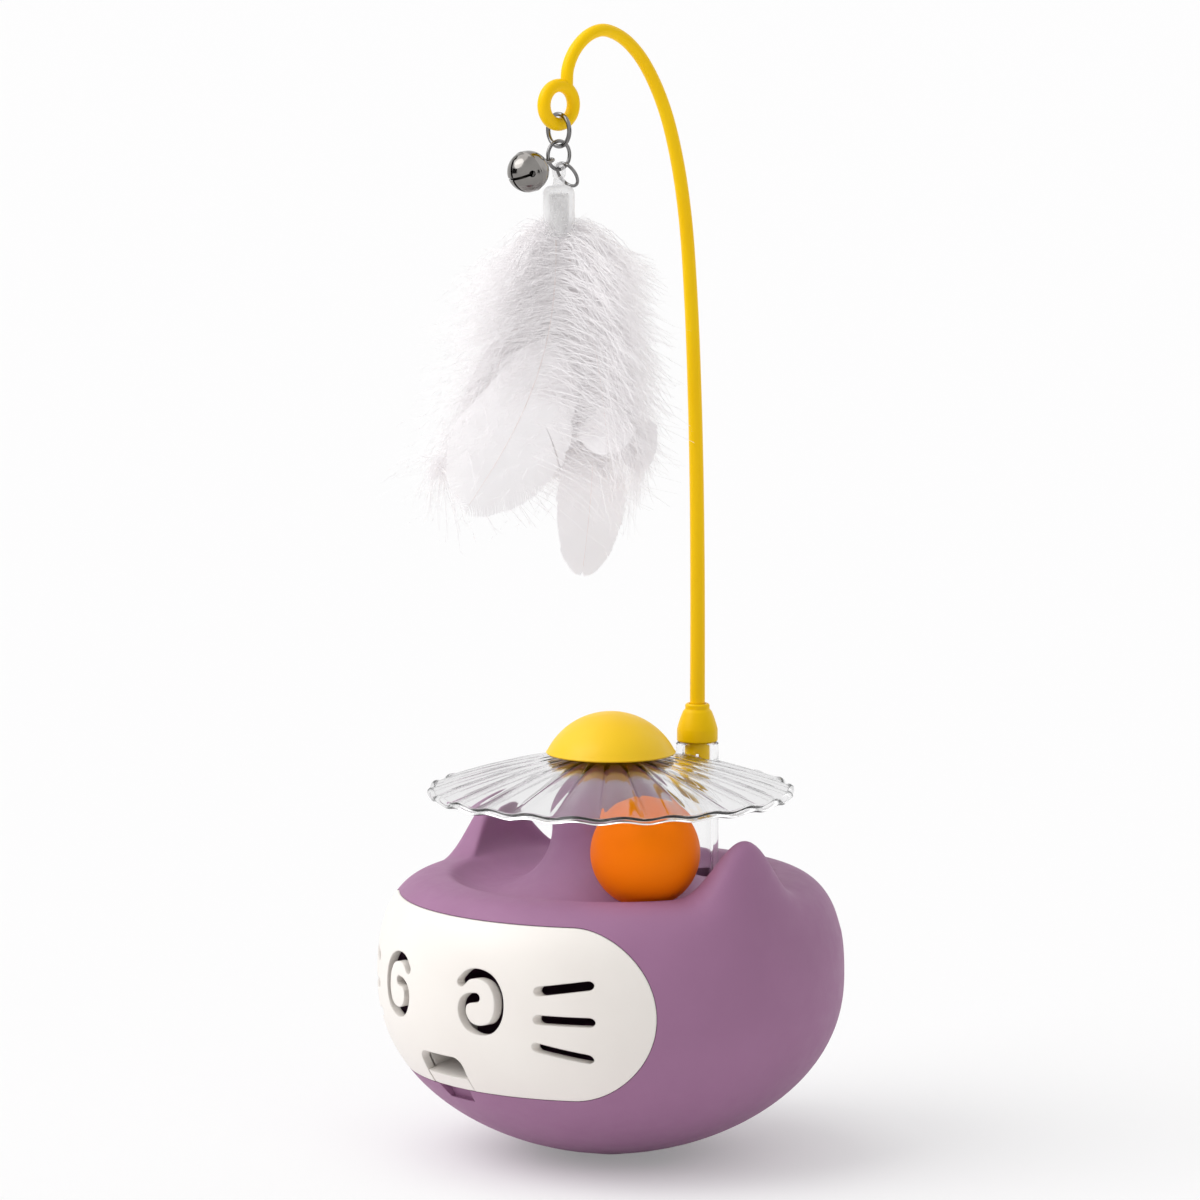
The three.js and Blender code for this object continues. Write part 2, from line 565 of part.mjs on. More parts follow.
function buildBodyShell() {
  const reach = EAR_REACH / earTipRadius;
  const besideEar = [-1, -0.8, -0.62, -0.46, -0.3, -0.15, 0, 0.15, 0.3, 0.46, 0.62, 0.8, 1]
    .map((t) => t * reach);
  const [rightEar, leftEar] = earAngles;
  const angles = [
    ...besideEar.map((angle) => rightEar + angle),
    ...steps(rightEar + reach, leftEar - reach, 11).slice(1, -1),
    ...besideEar.map((angle) => leftEar + angle),
    ...steps(leftEar + reach, rightEar + 2 * Math.PI - reach, 12).slice(1, -1),
  ];
  const ledge = facePatch(LEDGE_SKIRT, SHELL_WALL / 2, MASK_WALL + GAP + LEDGE_WALL);
  const recess = facePatch(SNAP_FIT, -SHELL_WALL, MASK_WALL + GAP);
  const window = facePatch(-MASK_LEDGE, -SHELL_WALL, MASK_WALL + GAP + LEDGE_WALL + SHELL_WALL);
  const notch = prismAlongY([
    [-NOTCH_BOTTOM_HALF_WIDTH, notchBottom], [NOTCH_BOTTOM_HALF_WIDTH, notchBottom],
    [NOTCH_TOP_HALF_WIDTH, maskBottom + GAP], [-NOTCH_TOP_HALF_WIDTH, maskBottom + GAP],
  ], farFront, -bodyRadius(notchBottom) + NOTCH_DEPTH);
  const tubeHole = TUBE_RADIUS + SLIDE_FIT;
  const socketFloor = deckHeight - SOCKET_DEPTH;
  const socket = rod(tubeHole + SOCKET_WALL, socketFloor - SOCKET_WALL, deckHeight - GAP, 24);
  const socketBore = rod(tubeHole, socketFloor, deckHeight + channelRadius, 24);
  let shell = toSolid(ringSolid(angles, shellSection))
    .add(toSolid(ledge))
    .subtract(toSolid(recess))
    .subtract(toSolid(window))
    .subtract(toSolid(notch))
    .subtract(chuteFloor(GAP))
    .add(toSolid(socket.translate(0, tubeOffset, 0)))
    .subtract(toSolid(socketBore.translate(0, tubeOffset, 0)));
  for (const side of screwSides) {
    const hole = rod(SCREW_SHANK_RADIUS + GAP, BASE_PLATE_HEIGHT - SHELL_WALL, plateTop + SHELL_WALL, 12);
    shell = shell.subtract(toSolid(hole.translate(side * screwOffset, 0, 0)));
  }
  return named('body_shell', fromSolid(shell), PURPLE);
}

function buildBaseCap() {
  const seat = BASE_PLATE_HEIGHT - GAP;
  const outside = steps(FOOT_RADIUS + 0.7, BASE_CAP_RADIUS, 5).map((radius) => [radius, bowlHeight(radius)]);
  const inside = steps(BASE_CAP_RADIUS - BASE_CAP_WALL, FOOT_RADIUS, 3)
    .map((radius) => [radius, bowlHeight(radius) + BASE_CAP_WALL]);
  const dish = revolve([[0, 0], [FOOT_RADIUS, 0], ...outside, [BASE_CAP_RADIUS, seat],
    [BASE_CAP_RADIUS - BASE_CAP_WALL, seat], ...inside, [0, BASE_CAP_WALL]], 32);
  const outline = [[0, 0], [FOOT_RADIUS, 0], ...outside, [BASE_CAP_RADIUS, seat], [0, seat]];
  const blank = toSolid(revolve(outline, 32));
  let cap = toSolid(dish);
  for (const side of screwSides) {
    const boss = rod(screwBoss, 0, seat + BASE_CAP_WALL, 16);
    const well = rod(SCREW_WELL_RADIUS, -BASE_CAP_WALL, seat - SCREW_WELL_FLOOR, 16);
    const hole = rod(SCREW_SHANK_RADIUS + GAP, 0, BASE_PLATE_HEIGHT, 12);
    const place = [side * screwOffset, 0, 0];
    cap = cap.add(toSolid(boss.translate(...place)).intersect(blank))
      .subtract(toSolid(well.translate(...place)))
      .subtract(toSolid(hole.translate(...place)));
  }
  return named('base_cap', fromSolid(cap), PURPLE);
}

function buildCounterweight() {
  const bottom = plateTop + GAP;
  const top = bottom + WEIGHT_THICKNESS;
  let weight = toSolid(revolve([[WEIGHT_HOLE, bottom], [WEIGHT_RADIUS - WEIGHT_CHAMFER, bottom],
    [WEIGHT_RADIUS, bottom + WEIGHT_CHAMFER], [WEIGHT_RADIUS, top - WEIGHT_CHAMFER],
    [WEIGHT_RADIUS - WEIGHT_CHAMFER, top], [WEIGHT_HOLE, top], [WEIGHT_HOLE, bottom]], 32));
  for (const side of screwSides) {
    const hole = rod(SCREW_SHANK_RADIUS + GAP, bottom - WEIGHT_CHAMFER, top + WEIGHT_CHAMFER, 12);
    weight = weight.subtract(toSolid(hole.translate(side * screwOffset, 0, 0)));
  }
  return named('counterweight', fromSolid(weight), STEEL);
}

function buildScrew(name, side) {
  const underHead = BASE_PLATE_HEIGHT - GAP - SCREW_WELL_FLOOR - GAP;
  const head = underHead - SCREW_HEAD_HEIGHT;
  const blank = revolve([[0, head], [SCREW_HEAD_RADIUS - 0.6, head], [SCREW_HEAD_RADIUS, head + 0.7],
    [SCREW_HEAD_RADIUS, underHead], [SCREW_SHANK_RADIUS, underHead],
    [SCREW_SHANK_RADIUS, underHead + SCREW_LENGTH - 1.5], [0, underHead + SCREW_LENGTH]], 16);
  const arm = (length, width) => toSolid(new THREE.BoxGeometry(length, width, SCREW_HEAD_HEIGHT)
    .translate(0, 0, head));
  const cross = arm(SCREW_HEAD_RADIUS * 1.2, SCREW_SLOT).add(arm(SCREW_SLOT, SCREW_HEAD_RADIUS * 1.2));
  const screw = named(name, fromSolid(toSolid(blank).subtract(cross)), STEEL);
  screw.position.x = side * screwOffset;
  return screw;
}

function buildFaceMask() {
  let mask = toSolid(facePatch(0, 0, MASK_WALL));
  const cut = (outline) => {
    mask = mask.subtract(toSolid(prismAlongY(outline, farFront, 0)));
  };
  cut(mouthOutline());
  for (const side of [-1, 1]) {
    const mirrored = (path) => path.map(([across, up]) => [side * across, maskMiddle + up]);
    cut(slotOutline(mirrored(EYE_PATH), EYE_SLOT, 18));
    for (const whisker of WHISKERS) {
      cut(slotOutline(mirrored(whisker), WHISKER_SLOT, 1));
    }
  }
  return named('face_mask', fromSolid(mask), WHITE);
}

function buildMouthChute() {
  const lipHalf = MOUTH_HALF_WIDTH - SNAP_FIT;
  const lipBack = sillFront + MASK_WALL + GAP + CHUTE_FLOOR;
  const lip = toSolid(prismAlongX([[farFront, maskBottom], [lipBack, maskBottom],
    [lipBack, floorAt(lipBack)], [farFront, floorAt(farFront)]], lipHalf))
    .intersect(bodyBlank(0));
  const seat = toSolid(prismAlongX([[farFront, maskBottom - SHELL_WALL],
    [lipBack + SHELL_WALL, maskBottom - SHELL_WALL], [lipBack + SHELL_WALL, floorAt(lipBack) - CHUTE_FLOOR],
    [farFront, floorAt(farFront) - CHUTE_FLOOR]], lipHalf + GAP)).subtract(bodyBlank(MASK_WALL));
  const channel = chuteFloor(0)
    .subtract(toSolid(prismAlongX([
      [farFront, floorAt(farFront)], [chuteEnd + CHUTE_SIDE, floorAt(chuteEnd + CHUTE_SIDE)],
      [chuteEnd + CHUTE_SIDE, floorAt(chuteEnd) + 2 * CHUTE_SIDE_HEIGHT],
      [farFront, floorAt(chuteEnd) + 2 * CHUTE_SIDE_HEIGHT],
    ], CHUTE_HALF_WIDTH - CHUTE_SIDE)))
    .intersect(bodyBlank(MASK_WALL + SNAP_FIT));
  const skin = bodyBlank(0).subtract(bodyBlank(MASK_WALL + SNAP_FIT));
  const front = lip.intersect(seat.add(skin)).add(lip.intersect(chuteFloor(0)));
  return named('mouth_chute', fromSolid(front.add(channel)), WHITE);
}

// Ball, canopy and cap

function buildTrackBall() {
  const ball = named('track_ball', closedGeometry(new THREE.SphereGeometry(BALL_RADIUS, 24, 14)), ORANGE);
  const bearing = THREE.MathUtils.degToRad(BALL_BEARING);
  ball.position.set(TRACK_RADIUS * Math.cos(bearing), TRACK_RADIUS * Math.sin(bearing), ballHeight);
  return ball;
}

function buildCanopyDisc() {
  const perFlute = 3;
  const angles = steps(0, 2 * Math.PI, FLUTES * perFlute).slice(0, -1);
  const inner = postBore + GAP;
  const radii = [inner, CANOPY_HUB_RADIUS, ...steps(CANOPY_HUB_RADIUS, canopyRadius, 4).slice(1)];
  const sectionAt = (angle) => {
    const place = (angle / (2 * Math.PI) * FLUTES) % 1;
    const hollow = Math.pow(2 * place - 1, 2);
    const top = radii.map((radius) => {
      const share = Math.max(radius - CANOPY_HUB_RADIUS, 0) / (canopyRadius - CANOPY_HUB_RADIUS);
      const drop = CANOPY_DROP * Math.pow(share, CANOPY_CURVE_POWER) + FLUTE_DEPTH * hollow * share;
      return [radius - FLUTE_SCALLOP * hollow * share, canopyHubTop - drop];
    });
    const bottom = top.map(([radius, height]) => [radius, height - CANOPY_WALL]).reverse();
    return [...top, ...bottom];
  };
  const hole = rod(TUBE_RADIUS + SLIDE_FIT, postShoulder, tubeTop + CANOPY_WALL, 24);
  const disc = toSolid(ringSolid(angles, sectionAt)).subtract(toSolid(hole.translate(0, tubeOffset, 0)));
  return named('canopy_disc', fromSolid(disc), CLEAR);
}

function buildDomeCap() {
  const edge = canopyHubTop + DOME_LIFT;
  const sphere = (DOME_RADIUS ** 2 + DOME_RISE ** 2) / (2 * DOME_RISE);
  const rim = Math.asin(DOME_RADIUS / sphere);
  const top = edge + DOME_RISE;
  const dome = steps(rim, 0, 8)
    .map((turn) => [sphere * Math.sin(turn), top - sphere * (1 - Math.cos(turn))]);
  dome[dome.length - 1][0] = 0;
  const bossBottom = canopyHubTop + GAP;
  const plugBottom = postTop - DOME_PLUG_LENGTH;
  return named('dome_cap', revolve([[0, plugBottom], [DOME_PLUG_RADIUS - 0.8, plugBottom],
    [DOME_PLUG_RADIUS, plugBottom + 0.8], [DOME_PLUG_RADIUS, bossBottom], [DOME_BOSS_RADIUS, bossBottom],
    [DOME_BOSS_RADIUS, edge], ...dome], 28), YELLOW);
}

// Wand

function buildWandTube() {
  const bottom = deckHeight - SOCKET_DEPTH + GAP;
  const tube = named('wand_tube', sleeve(TUBE_RADIUS, TUBE_BORE, bottom, tubeTop, 24), CLEAR);
  tube.position.y = tubeOffset;
  return tube;
}

function buildWandFerrule() {
  const plug = TUBE_BORE - SLIDE_FIT;
  const seat = ROD_BASE_RADIUS + GAP;
  const cone = FERRULE_HEIGHT - FERRULE_SKIRT;
  const body = toSolid(revolve([[0, -FERRULE_PLUG_LENGTH], [plug - 0.6, -FERRULE_PLUG_LENGTH],
    [plug, 0.6 - FERRULE_PLUG_LENGTH], [plug, 0], [FERRULE_RADIUS, 0], [FERRULE_RADIUS, FERRULE_SKIRT],
    [FERRULE_RADIUS - 0.4, FERRULE_SKIRT + cone * 0.22], [FERRULE_RADIUS - 1.5, FERRULE_SKIRT + cone * 0.68],
    [FERRULE_COLLAR_RADIUS + 0.2, FERRULE_SKIRT + cone * 0.76], [FERRULE_COLLAR_RADIUS, FERRULE_HEIGHT - 0.4],
    [FERRULE_COLLAR_RADIUS - 0.4, FERRULE_HEIGHT], [seat, FERRULE_HEIGHT], [seat, ROD_SEAT - GAP],
    [0, ROD_SEAT - GAP]], 24));
  const split = new THREE.BoxGeometry(2 * FERRULE_RADIUS, FERRULE_PLUG_SPLIT, FERRULE_SPLIT_LENGTH + 1)
    .translate(0, 0, -FERRULE_PLUG_LENGTH + (FERRULE_SPLIT_LENGTH - 1) / 2)
    .rotateZ(THREE.MathUtils.degToRad(FAN_TURN - 90));
  const ferrule = named('wand_ferrule', fromSolid(body.subtract(toSolid(split))), YELLOW);
  ferrule.position.set(0, tubeOffset, ferruleBottom);
  return ferrule;
}

const rodPath = [[0, ROD_SEAT], ...ROD_PATH]
  .map(([forward, up]) => new THREE.Vector3(0, tubeOffset - forward, ferruleBottom + up));
const rodTip = rodPath[rodPath.length - 1];
const joinAngle = THREE.MathUtils.degToRad(EYELET_JOIN_ANGLE);
const eyeletMiddle = new THREE.Vector3(0, rodTip.y - EYELET_RADIUS * Math.cos(joinAngle),
  rodTip.z - EYELET_RADIUS * Math.sin(joinAngle));

function buildWandRod() {
  const curve = new THREE.CatmullRomCurve3(rodPath, false, 'centripetal');
  const places = steps(0, 1, 30).map((u) => 1 - Math.pow(1 - u, 1.6));
  const sides = steps(0, 2 * Math.PI, 8).slice(0, -1);
  const across = new THREE.Vector3(1, 0, 0);
  const rings = places.map((t) => {
    const middle = curve.getPointAt(t);
    const normal = new THREE.Vector3().crossVectors(curve.getTangentAt(t), across);
    const radius = ROD_BASE_RADIUS + (ROD_TIP_RADIUS - ROD_BASE_RADIUS) * t;
    return sides.map((turn) => middle.clone()
      .addScaledVector(across, radius * Math.cos(turn))
      .addScaledVector(normal, radius * Math.sin(turn)));
  });
  const eyelet = new THREE.TorusGeometry(EYELET_RADIUS, EYELET_WIRE_RADIUS, 8, 24)
    .rotateY(Math.PI / 2).translate(0, eyeletMiddle.y, eyeletMiddle.z);
  return named('wand_rod', fromSolid(toSolid(loft(rings)).add(toSolid(eyelet))), YELLOW);
}

// Links, bell and holder

const eyeletHoleBottom = eyeletMiddle.z - EYELET_RADIUS + EYELET_WIRE_RADIUS;
const upperRingMiddle = eyeletHoleBottom + GAP + UPPER_RING.wire - UPPER_RING.radius;
const upperRingBottom = upperRingMiddle - UPPER_RING.radius;
const lowerRingMiddle = upperRingBottom + UPPER_RING.wire + GAP + LOWER_RING.wire - LOWER_RING.radius;
const lowerRingBottom = lowerRingMiddle - LOWER_RING.radius;
const holderLoopTop = lowerRingBottom + LOWER_RING.wire + GAP;
const holderLoopMiddle = holderLoopTop - (HOLDER_LOOP_RADIUS - HOLDER_LOOP_WIRE);
const holderTop = holderLoopMiddle - HOLDER_LOOP_RADIUS - HOLDER_SHOULDER;
const holderBottom = holderTop - HOLDER_LENGTH;

/** A wire ring that lies in the XZ plane, with its middle at the group's origin. */
function wireRing(ring) {
  return closedGeometry(new THREE.TorusGeometry(ring.radius, ring.wire, 6, 20).rotateX(Math.PI / 2));
}

function buildUpperRing() {
  const ring = named('upper_link_ring', wireRing(UPPER_RING), STEEL);
  ring.position.set(0, eyeletMiddle.y, upperRingMiddle);
  return ring;
}

function buildLowerRing() {
  const ring = named('lower_link_ring', wireRing(LOWER_RING), STEEL);
  ring.rotation.z = Math.PI / 2;
  ring.position.set(0, eyeletMiddle.y, lowerRingMiddle);
  return ring;
}

/** A group at a point on the lower ring's wire, whose -Z axis runs away from that ring's middle. */
function hangerOnLowerRing(hangAngle) {
  const turn = THREE.MathUtils.degToRad(hangAngle);
  const hanger = new THREE.Group();
  hanger.position.set(0, eyeletMiddle.y + LOWER_RING.radius * Math.cos(turn),
    lowerRingMiddle + LOWER_RING.radius * Math.sin(turn));
  hanger.rotation.x = turn + Math.PI / 2;
  return hanger;
}

function buildSideRing() {
  const hanger = hangerOnLowerRing(SIDE_RING.hangAngle);
  const ring = named('side_link_ring', wireRing(SIDE_RING), STEEL);
  ring.position.z = -(SIDE_RING.radius - SIDE_RING.wire - GAP - LOWER_RING.wire);
  hanger.add(ring);
  return hanger;
}

function buildBell() {
  const hanger = hangerOnLowerRing(BELL_HANG_ANGLE);
  const loopMiddle = -(BELL_LOOP_RADIUS - BELL_LOOP_WIRE - GAP - LOWER_RING.wire);
  const bellMiddle = loopMiddle - BELL_LOOP_RADIUS - BELL_RADIUS;
  const slotHalf = BELL_RADIUS * Math.sin(THREE.MathUtils.degToRad(BELL_SLOT_ANGLE));
  const slotTop = BELL_RADIUS * Math.cos(THREE.MathUtils.degToRad(BELL_SLOT_ANGLE));
  const inside = BELL_RADIUS - BELL_WALL;
  const loop = new THREE.TorusGeometry(BELL_LOOP_RADIUS, BELL_LOOP_WIRE, 6, 12)
    .rotateX(Math.PI / 2).translate(0, 0, loopMiddle - bellMiddle);
  let shell = toSolid(new THREE.SphereGeometry(BELL_RADIUS, 16, 10).rotateX(Math.PI / 2)).add(toSolid(loop))
    .subtract(toSolid(new THREE.SphereGeometry(inside, 16, 10).rotateX(Math.PI / 2)));
  for (const turn of [BELL_SLOT_TURN, BELL_SLOT_TURN + 90]) {
    const slot = new THREE.BoxGeometry(2 * slotHalf, BELL_SLOT, BELL_RADIUS)
      .translate(0, 0, -slotTop - BELL_RADIUS / 2).rotateZ(THREE.MathUtils.degToRad(turn));
    shell = shell.subtract(toSolid(slot));
    for (const side of [-1, 1]) {
      const end = new THREE.SphereGeometry(BELL_SLOT_END, 6, 4)
        .translate(side * slotHalf, 0, -slotTop).rotateZ(THREE.MathUtils.degToRad(turn));
      shell = shell.subtract(toSolid(end));
    }
  }
  const bell = named('bell_shell', fromSolid(shell), STEEL);
  bell.position.z = bellMiddle;
  const pellet = named('bell_pellet', closedGeometry(new THREE.SphereGeometry(PELLET_RADIUS, 10, 7)), STEEL);
  pellet.position.copy(new THREE.Vector3(0, 0, bellMiddle).applyEuler(hanger.rotation).add(hanger.position));
  pellet.position.z -= inside - PELLET_RADIUS - GAP;
  hanger.add(bell);
  return [hanger, pellet];
}

function buildFeatherHolder() {
  const roof = holderTop - HOLDER_ROOF;
  const sleeveBody = revolve([[HOLDER_BORE, holderBottom], [HOLDER_RADIUS - 0.5, holderBottom],
    [HOLDER_RADIUS, holderBottom + 0.5], [HOLDER_RADIUS, holderTop - HOLDER_SHOULDER],
    [HOLDER_RADIUS - 0.5, holderTop - 0.5], [HOLDER_RADIUS - 1.3, holderTop],
    [HOLDER_NECK_RADIUS, holderTop + 0.3],
    [HOLDER_NECK_RADIUS, holderLoopMiddle - HOLDER_LOOP_RADIUS], [0, holderLoopMiddle - HOLDER_LOOP_RADIUS],
    [0, roof], [HOLDER_BORE, roof], [HOLDER_BORE, holderBottom]], 24);
  const loop = new THREE.TorusGeometry(HOLDER_LOOP_RADIUS, HOLDER_LOOP_WIRE, 6, 18)
    .rotateX(Math.PI / 2).translate(0, 0, holderLoopMiddle);
  const holder = named('feather_holder', fromSolid(toSolid(sleeveBody).add(toSolid(loop))), CLEAR);
  holder.position.y = eyeletMiddle.y;
  return holder;
}

const quillPlugTop = holderTop - HOLDER_ROOF - GAP;
const featherTop = quillPlugTop - PLUG_LENGTH - GAP;

function buildQuillPlug() {
  const core = rod(HOLDER_BORE - SLIDE_FIT, quillPlugTop - PLUG_LENGTH, quillPlugTop, 16);
  const plug = named('quill_plug', core, WHITE);
  plug.position.y = eyeletMiddle.y;
  return plug;
}

/** One feather: a thin vane along a bowed shaft, in the fan's own frame: X across, Y away from the viewer. */
function buildFeather(name, root, tip, bow, width) {
  const rings = [0, 0.05, 0.13, 0.28, 0.42, 0.56, 0.7, 0.84, 0.94, 1].map((t) => {
    const lean = t * t * 0.55 + t * 0.45;
    const middle = new THREE.Vector3(
      root[0] + (tip[0] - root[0]) * lean + bow * Math.sin(Math.PI * t),
      -(root[1] + (tip[1] - root[1]) * t),
      -tip[2] * t);
    const spread = Math.max(0, Math.min(1, (t - BARE_QUILL / 2) / (1 - BARE_QUILL / 2)));
    const swell = Math.pow(Math.sin(Math.PI * Math.pow(spread, 0.72)), 0.62);
    const half = QUILL_RADIUS + (width / 2 - QUILL_RADIUS) * swell;
    const thick = QUILL_RADIUS + (VANE_THICKNESS / 2 - QUILL_RADIUS) * t;
    return [[-1, 0], [-0.5, -1], [0.5, -1], [1, 0], [0.5, 1], [-0.5, 1]].map(([across, through]) =>
      middle.clone().add(new THREE.Vector3(across * half, through * thick * 0.8, 0)));
  });
  return named(`feather_${name}`, loft(rings), FEATHER);
}

function buildFeathers() {
  const fan = new THREE.Group();
  fan.rotation.z = THREE.MathUtils.degToRad(FAN_TURN);
  fan.position.set(0, eyeletMiddle.y, featherTop);
  fan.add(...FEATHER_NAMES.map((name, i) => (
    buildFeather(name, FEATHER_ROOTS[i], FEATHER_TIPS[i], FEATHER_BOWS[i], FEATHER_WIDTHS[i]))));
  return fan;
}

// Assembly

const toy = new THREE.Group();
toy.name = 'wobble_cat_toy';
toy.add(
  buildBodyShell(), buildBaseCap(), buildCounterweight(),
  buildScrew('base_screw_left', -1), buildScrew('base_screw_right', 1),
  buildFaceMask(), buildMouthChute(),
  buildTrackBall(), buildCanopyDisc(), buildDomeCap(),
  buildWandTube(), buildWandFerrule(), buildWandRod(),
  buildUpperRing(), buildLowerRing(), buildSideRing(), ...buildBell(),
  buildFeatherHolder(), buildQuillPlug(), buildFeathers(),
);

export default toy;
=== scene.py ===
import logging
import math
import random
from dataclasses import dataclass, field
from enum import Enum
from typing import Callable, Sequence

import bmesh
import bpy
from mathutils import Matrix, Vector


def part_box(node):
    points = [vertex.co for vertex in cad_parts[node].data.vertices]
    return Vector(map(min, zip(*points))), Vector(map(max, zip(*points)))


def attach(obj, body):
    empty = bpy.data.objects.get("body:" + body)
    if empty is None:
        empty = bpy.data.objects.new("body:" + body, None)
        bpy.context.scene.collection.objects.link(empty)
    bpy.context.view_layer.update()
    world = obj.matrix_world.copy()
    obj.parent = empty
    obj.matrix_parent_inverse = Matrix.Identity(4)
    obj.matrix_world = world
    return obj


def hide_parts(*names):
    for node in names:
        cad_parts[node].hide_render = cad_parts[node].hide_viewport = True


LOG = logging.getLogger("wobble_cat_toy")
MM = 0.001
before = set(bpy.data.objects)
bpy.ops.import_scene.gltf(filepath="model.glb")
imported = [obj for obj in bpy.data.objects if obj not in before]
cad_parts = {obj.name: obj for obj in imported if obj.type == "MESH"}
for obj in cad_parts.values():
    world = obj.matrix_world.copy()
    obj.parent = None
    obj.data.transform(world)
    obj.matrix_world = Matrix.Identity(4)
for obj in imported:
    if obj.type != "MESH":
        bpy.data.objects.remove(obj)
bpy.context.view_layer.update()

Point = tuple[float, float]
Colour = tuple[int, int, int]


class Cut(Enum):
    """How a tool shape changes a piece."""

    TAKE_AWAY = "DIFFERENCE"
    ADD = "UNION"


# Small helpers

def linear(colour: Colour) -> tuple[float, float, float, float]:
    """Turns a screen colour into a scene colour.

    Args:
        colour: Red, green and blue from 0 to 255.

    Returns:
        The linear colour with full opacity.
    """
    parts = [part / 255 for part in colour]
    flat = [part / 12.92 if part <= 0.04045 else ((part + 0.055) / 1.055) ** 2.4 for part in parts]
    return flat[0], flat[1], flat[2], 1.0


def steps(start: float, end: float, count: int) -> list[float]:
    """Evenly spaced values.

    Args:
        start: First value.
        end: Last value.
        count: Number of intervals.

    Returns:
        count + 1 values.
    """
    return [start + (end - start) * i / count for i in range(count + 1)]


def ease(value: float) -> float:
    """Smooth step from 0 to 1."""
    held = min(max(value, 0.0), 1.0)
    return held * held * (3 - 2 * held)


def smooth_line(points: Sequence[Vector], per_span: int) -> list[Vector]:
    """Runs a centripetal spline through points.

    Args:
        points: The points that the line passes.
        per_span: Number of pieces between two neighbours.

    Returns:
        The points of the smooth line.
    """
    first = points[0] * 2 - points[1]
    last = points[-1] * 2 - points[-2]
    chain = [first, *points, last]
    line = [points[0].copy()]
    for a, b, c, d in zip(chain, chain[1:], chain[2:], chain[3:]):
        knots = [0.0]
        for near, far in ((a, b), (b, c), (c, d)):
            knots.append(knots[-1] + max((far - near).length, 1e-6) ** 0.5)
        for t in steps(knots[1], knots[2], per_span)[1:]:
            ab = a.lerp(b, (t - knots[0]) / (knots[1] - knots[0]))
            bc = b.lerp(c, (t - knots[1]) / (knots[2] - knots[1]))
            cd = c.lerp(d, (t - knots[2]) / (knots[3] - knots[2]))
            abc = ab.lerp(bc, (t - knots[0]) / (knots[2] - knots[0]))
            bcd = bc.lerp(cd, (t - knots[1]) / (knots[3] - knots[1]))
            line.append(abc.lerp(bcd, (t - knots[1]) / (knots[2] - knots[1])))
    return line


def even_line(points: Sequence[Vector], count: int) -> list[Vector]:
    """Resamples a line at equal distances.

    Args:
        points: The line's points.
        count: Number of intervals wanted.

    Returns:
        count + 1 points.
    """
    reach = [0.0]
    for near, far in zip(points, points[1:]):
        reach.append(reach[-1] + (far - near).length)
    line = []
    span = 0
    for goal in steps(0, reach[-1], count):
        while span < len(points) - 2 and reach[span + 1] < goal:
            span += 1
        share = (goal - reach[span]) / max(reach[span + 1] - reach[span], 1e-9)
        line.append(points[span].lerp(points[span + 1], share))
    return line


class Draft:
    """Points and faces of one piece, in millimetres, before they become a mesh."""

    def __init__(self) -> None:
        """Starts with nothing drawn."""
        self.points: list[Vector] = []
        self.faces: list[tuple[int, ...]] = []
        self.finish_of_face: list[int] = []

    def face(self, corners: Sequence[int], finish: int = 0) -> None:
        """Adds one face.

        Args:
            corners: Numbers of its points.
            finish: Which of the piece's materials it shows.
        """
        self.faces.append(tuple(corners))
        self.finish_of_face.append(finish)

    def rings(self, rings: Sequence[Sequence[Vector]], ends: bool = True, loop: bool = False,
              finish: int = 0) -> None:
        """Skins a row of closed rings with equal numbers of points.

        Args:
            rings: The rings in order.
            ends: Closes the first and the last ring with a face.
            loop: Joins the last ring to the first.
            finish: Which of the piece's materials the faces show.
        """
        start = len(self.points)
        size = len(rings[0])
        for ring in rings:
            self.points.extend(ring)
        pairs = list(zip(range(len(rings)), range(1, len(rings))))
        if loop:
            pairs.append((len(rings) - 1, 0))
        for a, b in pairs:
            for i in range(size):
                j = (i + 1) % size
                self.face((start + a * size + i, start + a * size + j, start + b * size + j,
                           start + b * size + i), finish)
        if ends and not loop:
            self.face([start + i for i in reversed(range(size))], finish)
            self.face([start + (len(rings) - 1) * size + i for i in range(size)], finish)

    def ribbon(self, middle: Sequence[Vector], sides: Sequence[Vector], finish: int = 0) -> None:
        """Adds a flat ribbon.

        Args:
            middle: Points of its centre line.
            sides: From each of them to the ribbon's edge.
            finish: Which of the piece's materials it shows.
        """
        start = len(self.points)
        for point, side in zip(middle, sides):
            self.points.extend((point - side, point + side))
        for i in range(len(middle) - 1):
            a = start + 2 * i
            self.face((a, a + 1, a + 3, a + 2), finish)

    def moved(self, change: Matrix) -> "Draft":
        """Moves all points by a matrix and returns the draft."""
        self.points = [change @ point for point in self.points]
        return self

    def piece(self, name: str, materials: Sequence[bpy.types.Material], crease: float = 40,
              weld: bool = True) -> bpy.types.Object:
        """Makes the Blender object.

        Args:
            name: Its name.
            materials: Its materials, in the order that the faces count them.
            crease: Edges sharper than this many degrees stay sharp.
            weld: Joins points in one place and turns the faces outward.

        Returns:
            The object, in metres and linked to the scene.
        """
        mesh = bpy.data.meshes.new(name)
        mesh.from_pydata([point * MM for point in self.points], [], self.faces)
        mesh.polygons.foreach_set("material_index", self.finish_of_face)
        if weld:
            work = bmesh.new()
            work.from_mesh(mesh)
            bmesh.ops.remove_doubles(work, verts=work.verts, dist=2e-6)
            bmesh.ops.recalc_face_normals(work, faces=work.faces)
            work.to_mesh(mesh)
            work.free()
        for material in materials:
            mesh.materials.append(material)
        thing = bpy.data.objects.new(name, mesh)
        bpy.context.scene.collection.objects.link(thing)
        smooth(thing, crease)
        return thing


def smooth(thing: bpy.types.Object, crease: float) -> None:
    """Shades a piece smooth, apart from its sharp edges.

    Args:
        thing: The piece.
        crease: Edges sharper than this many degrees stay sharp.
    """
    thing.data.shade_smooth()
    thing.data.set_sharp_from_angle(angle=math.radians(crease))


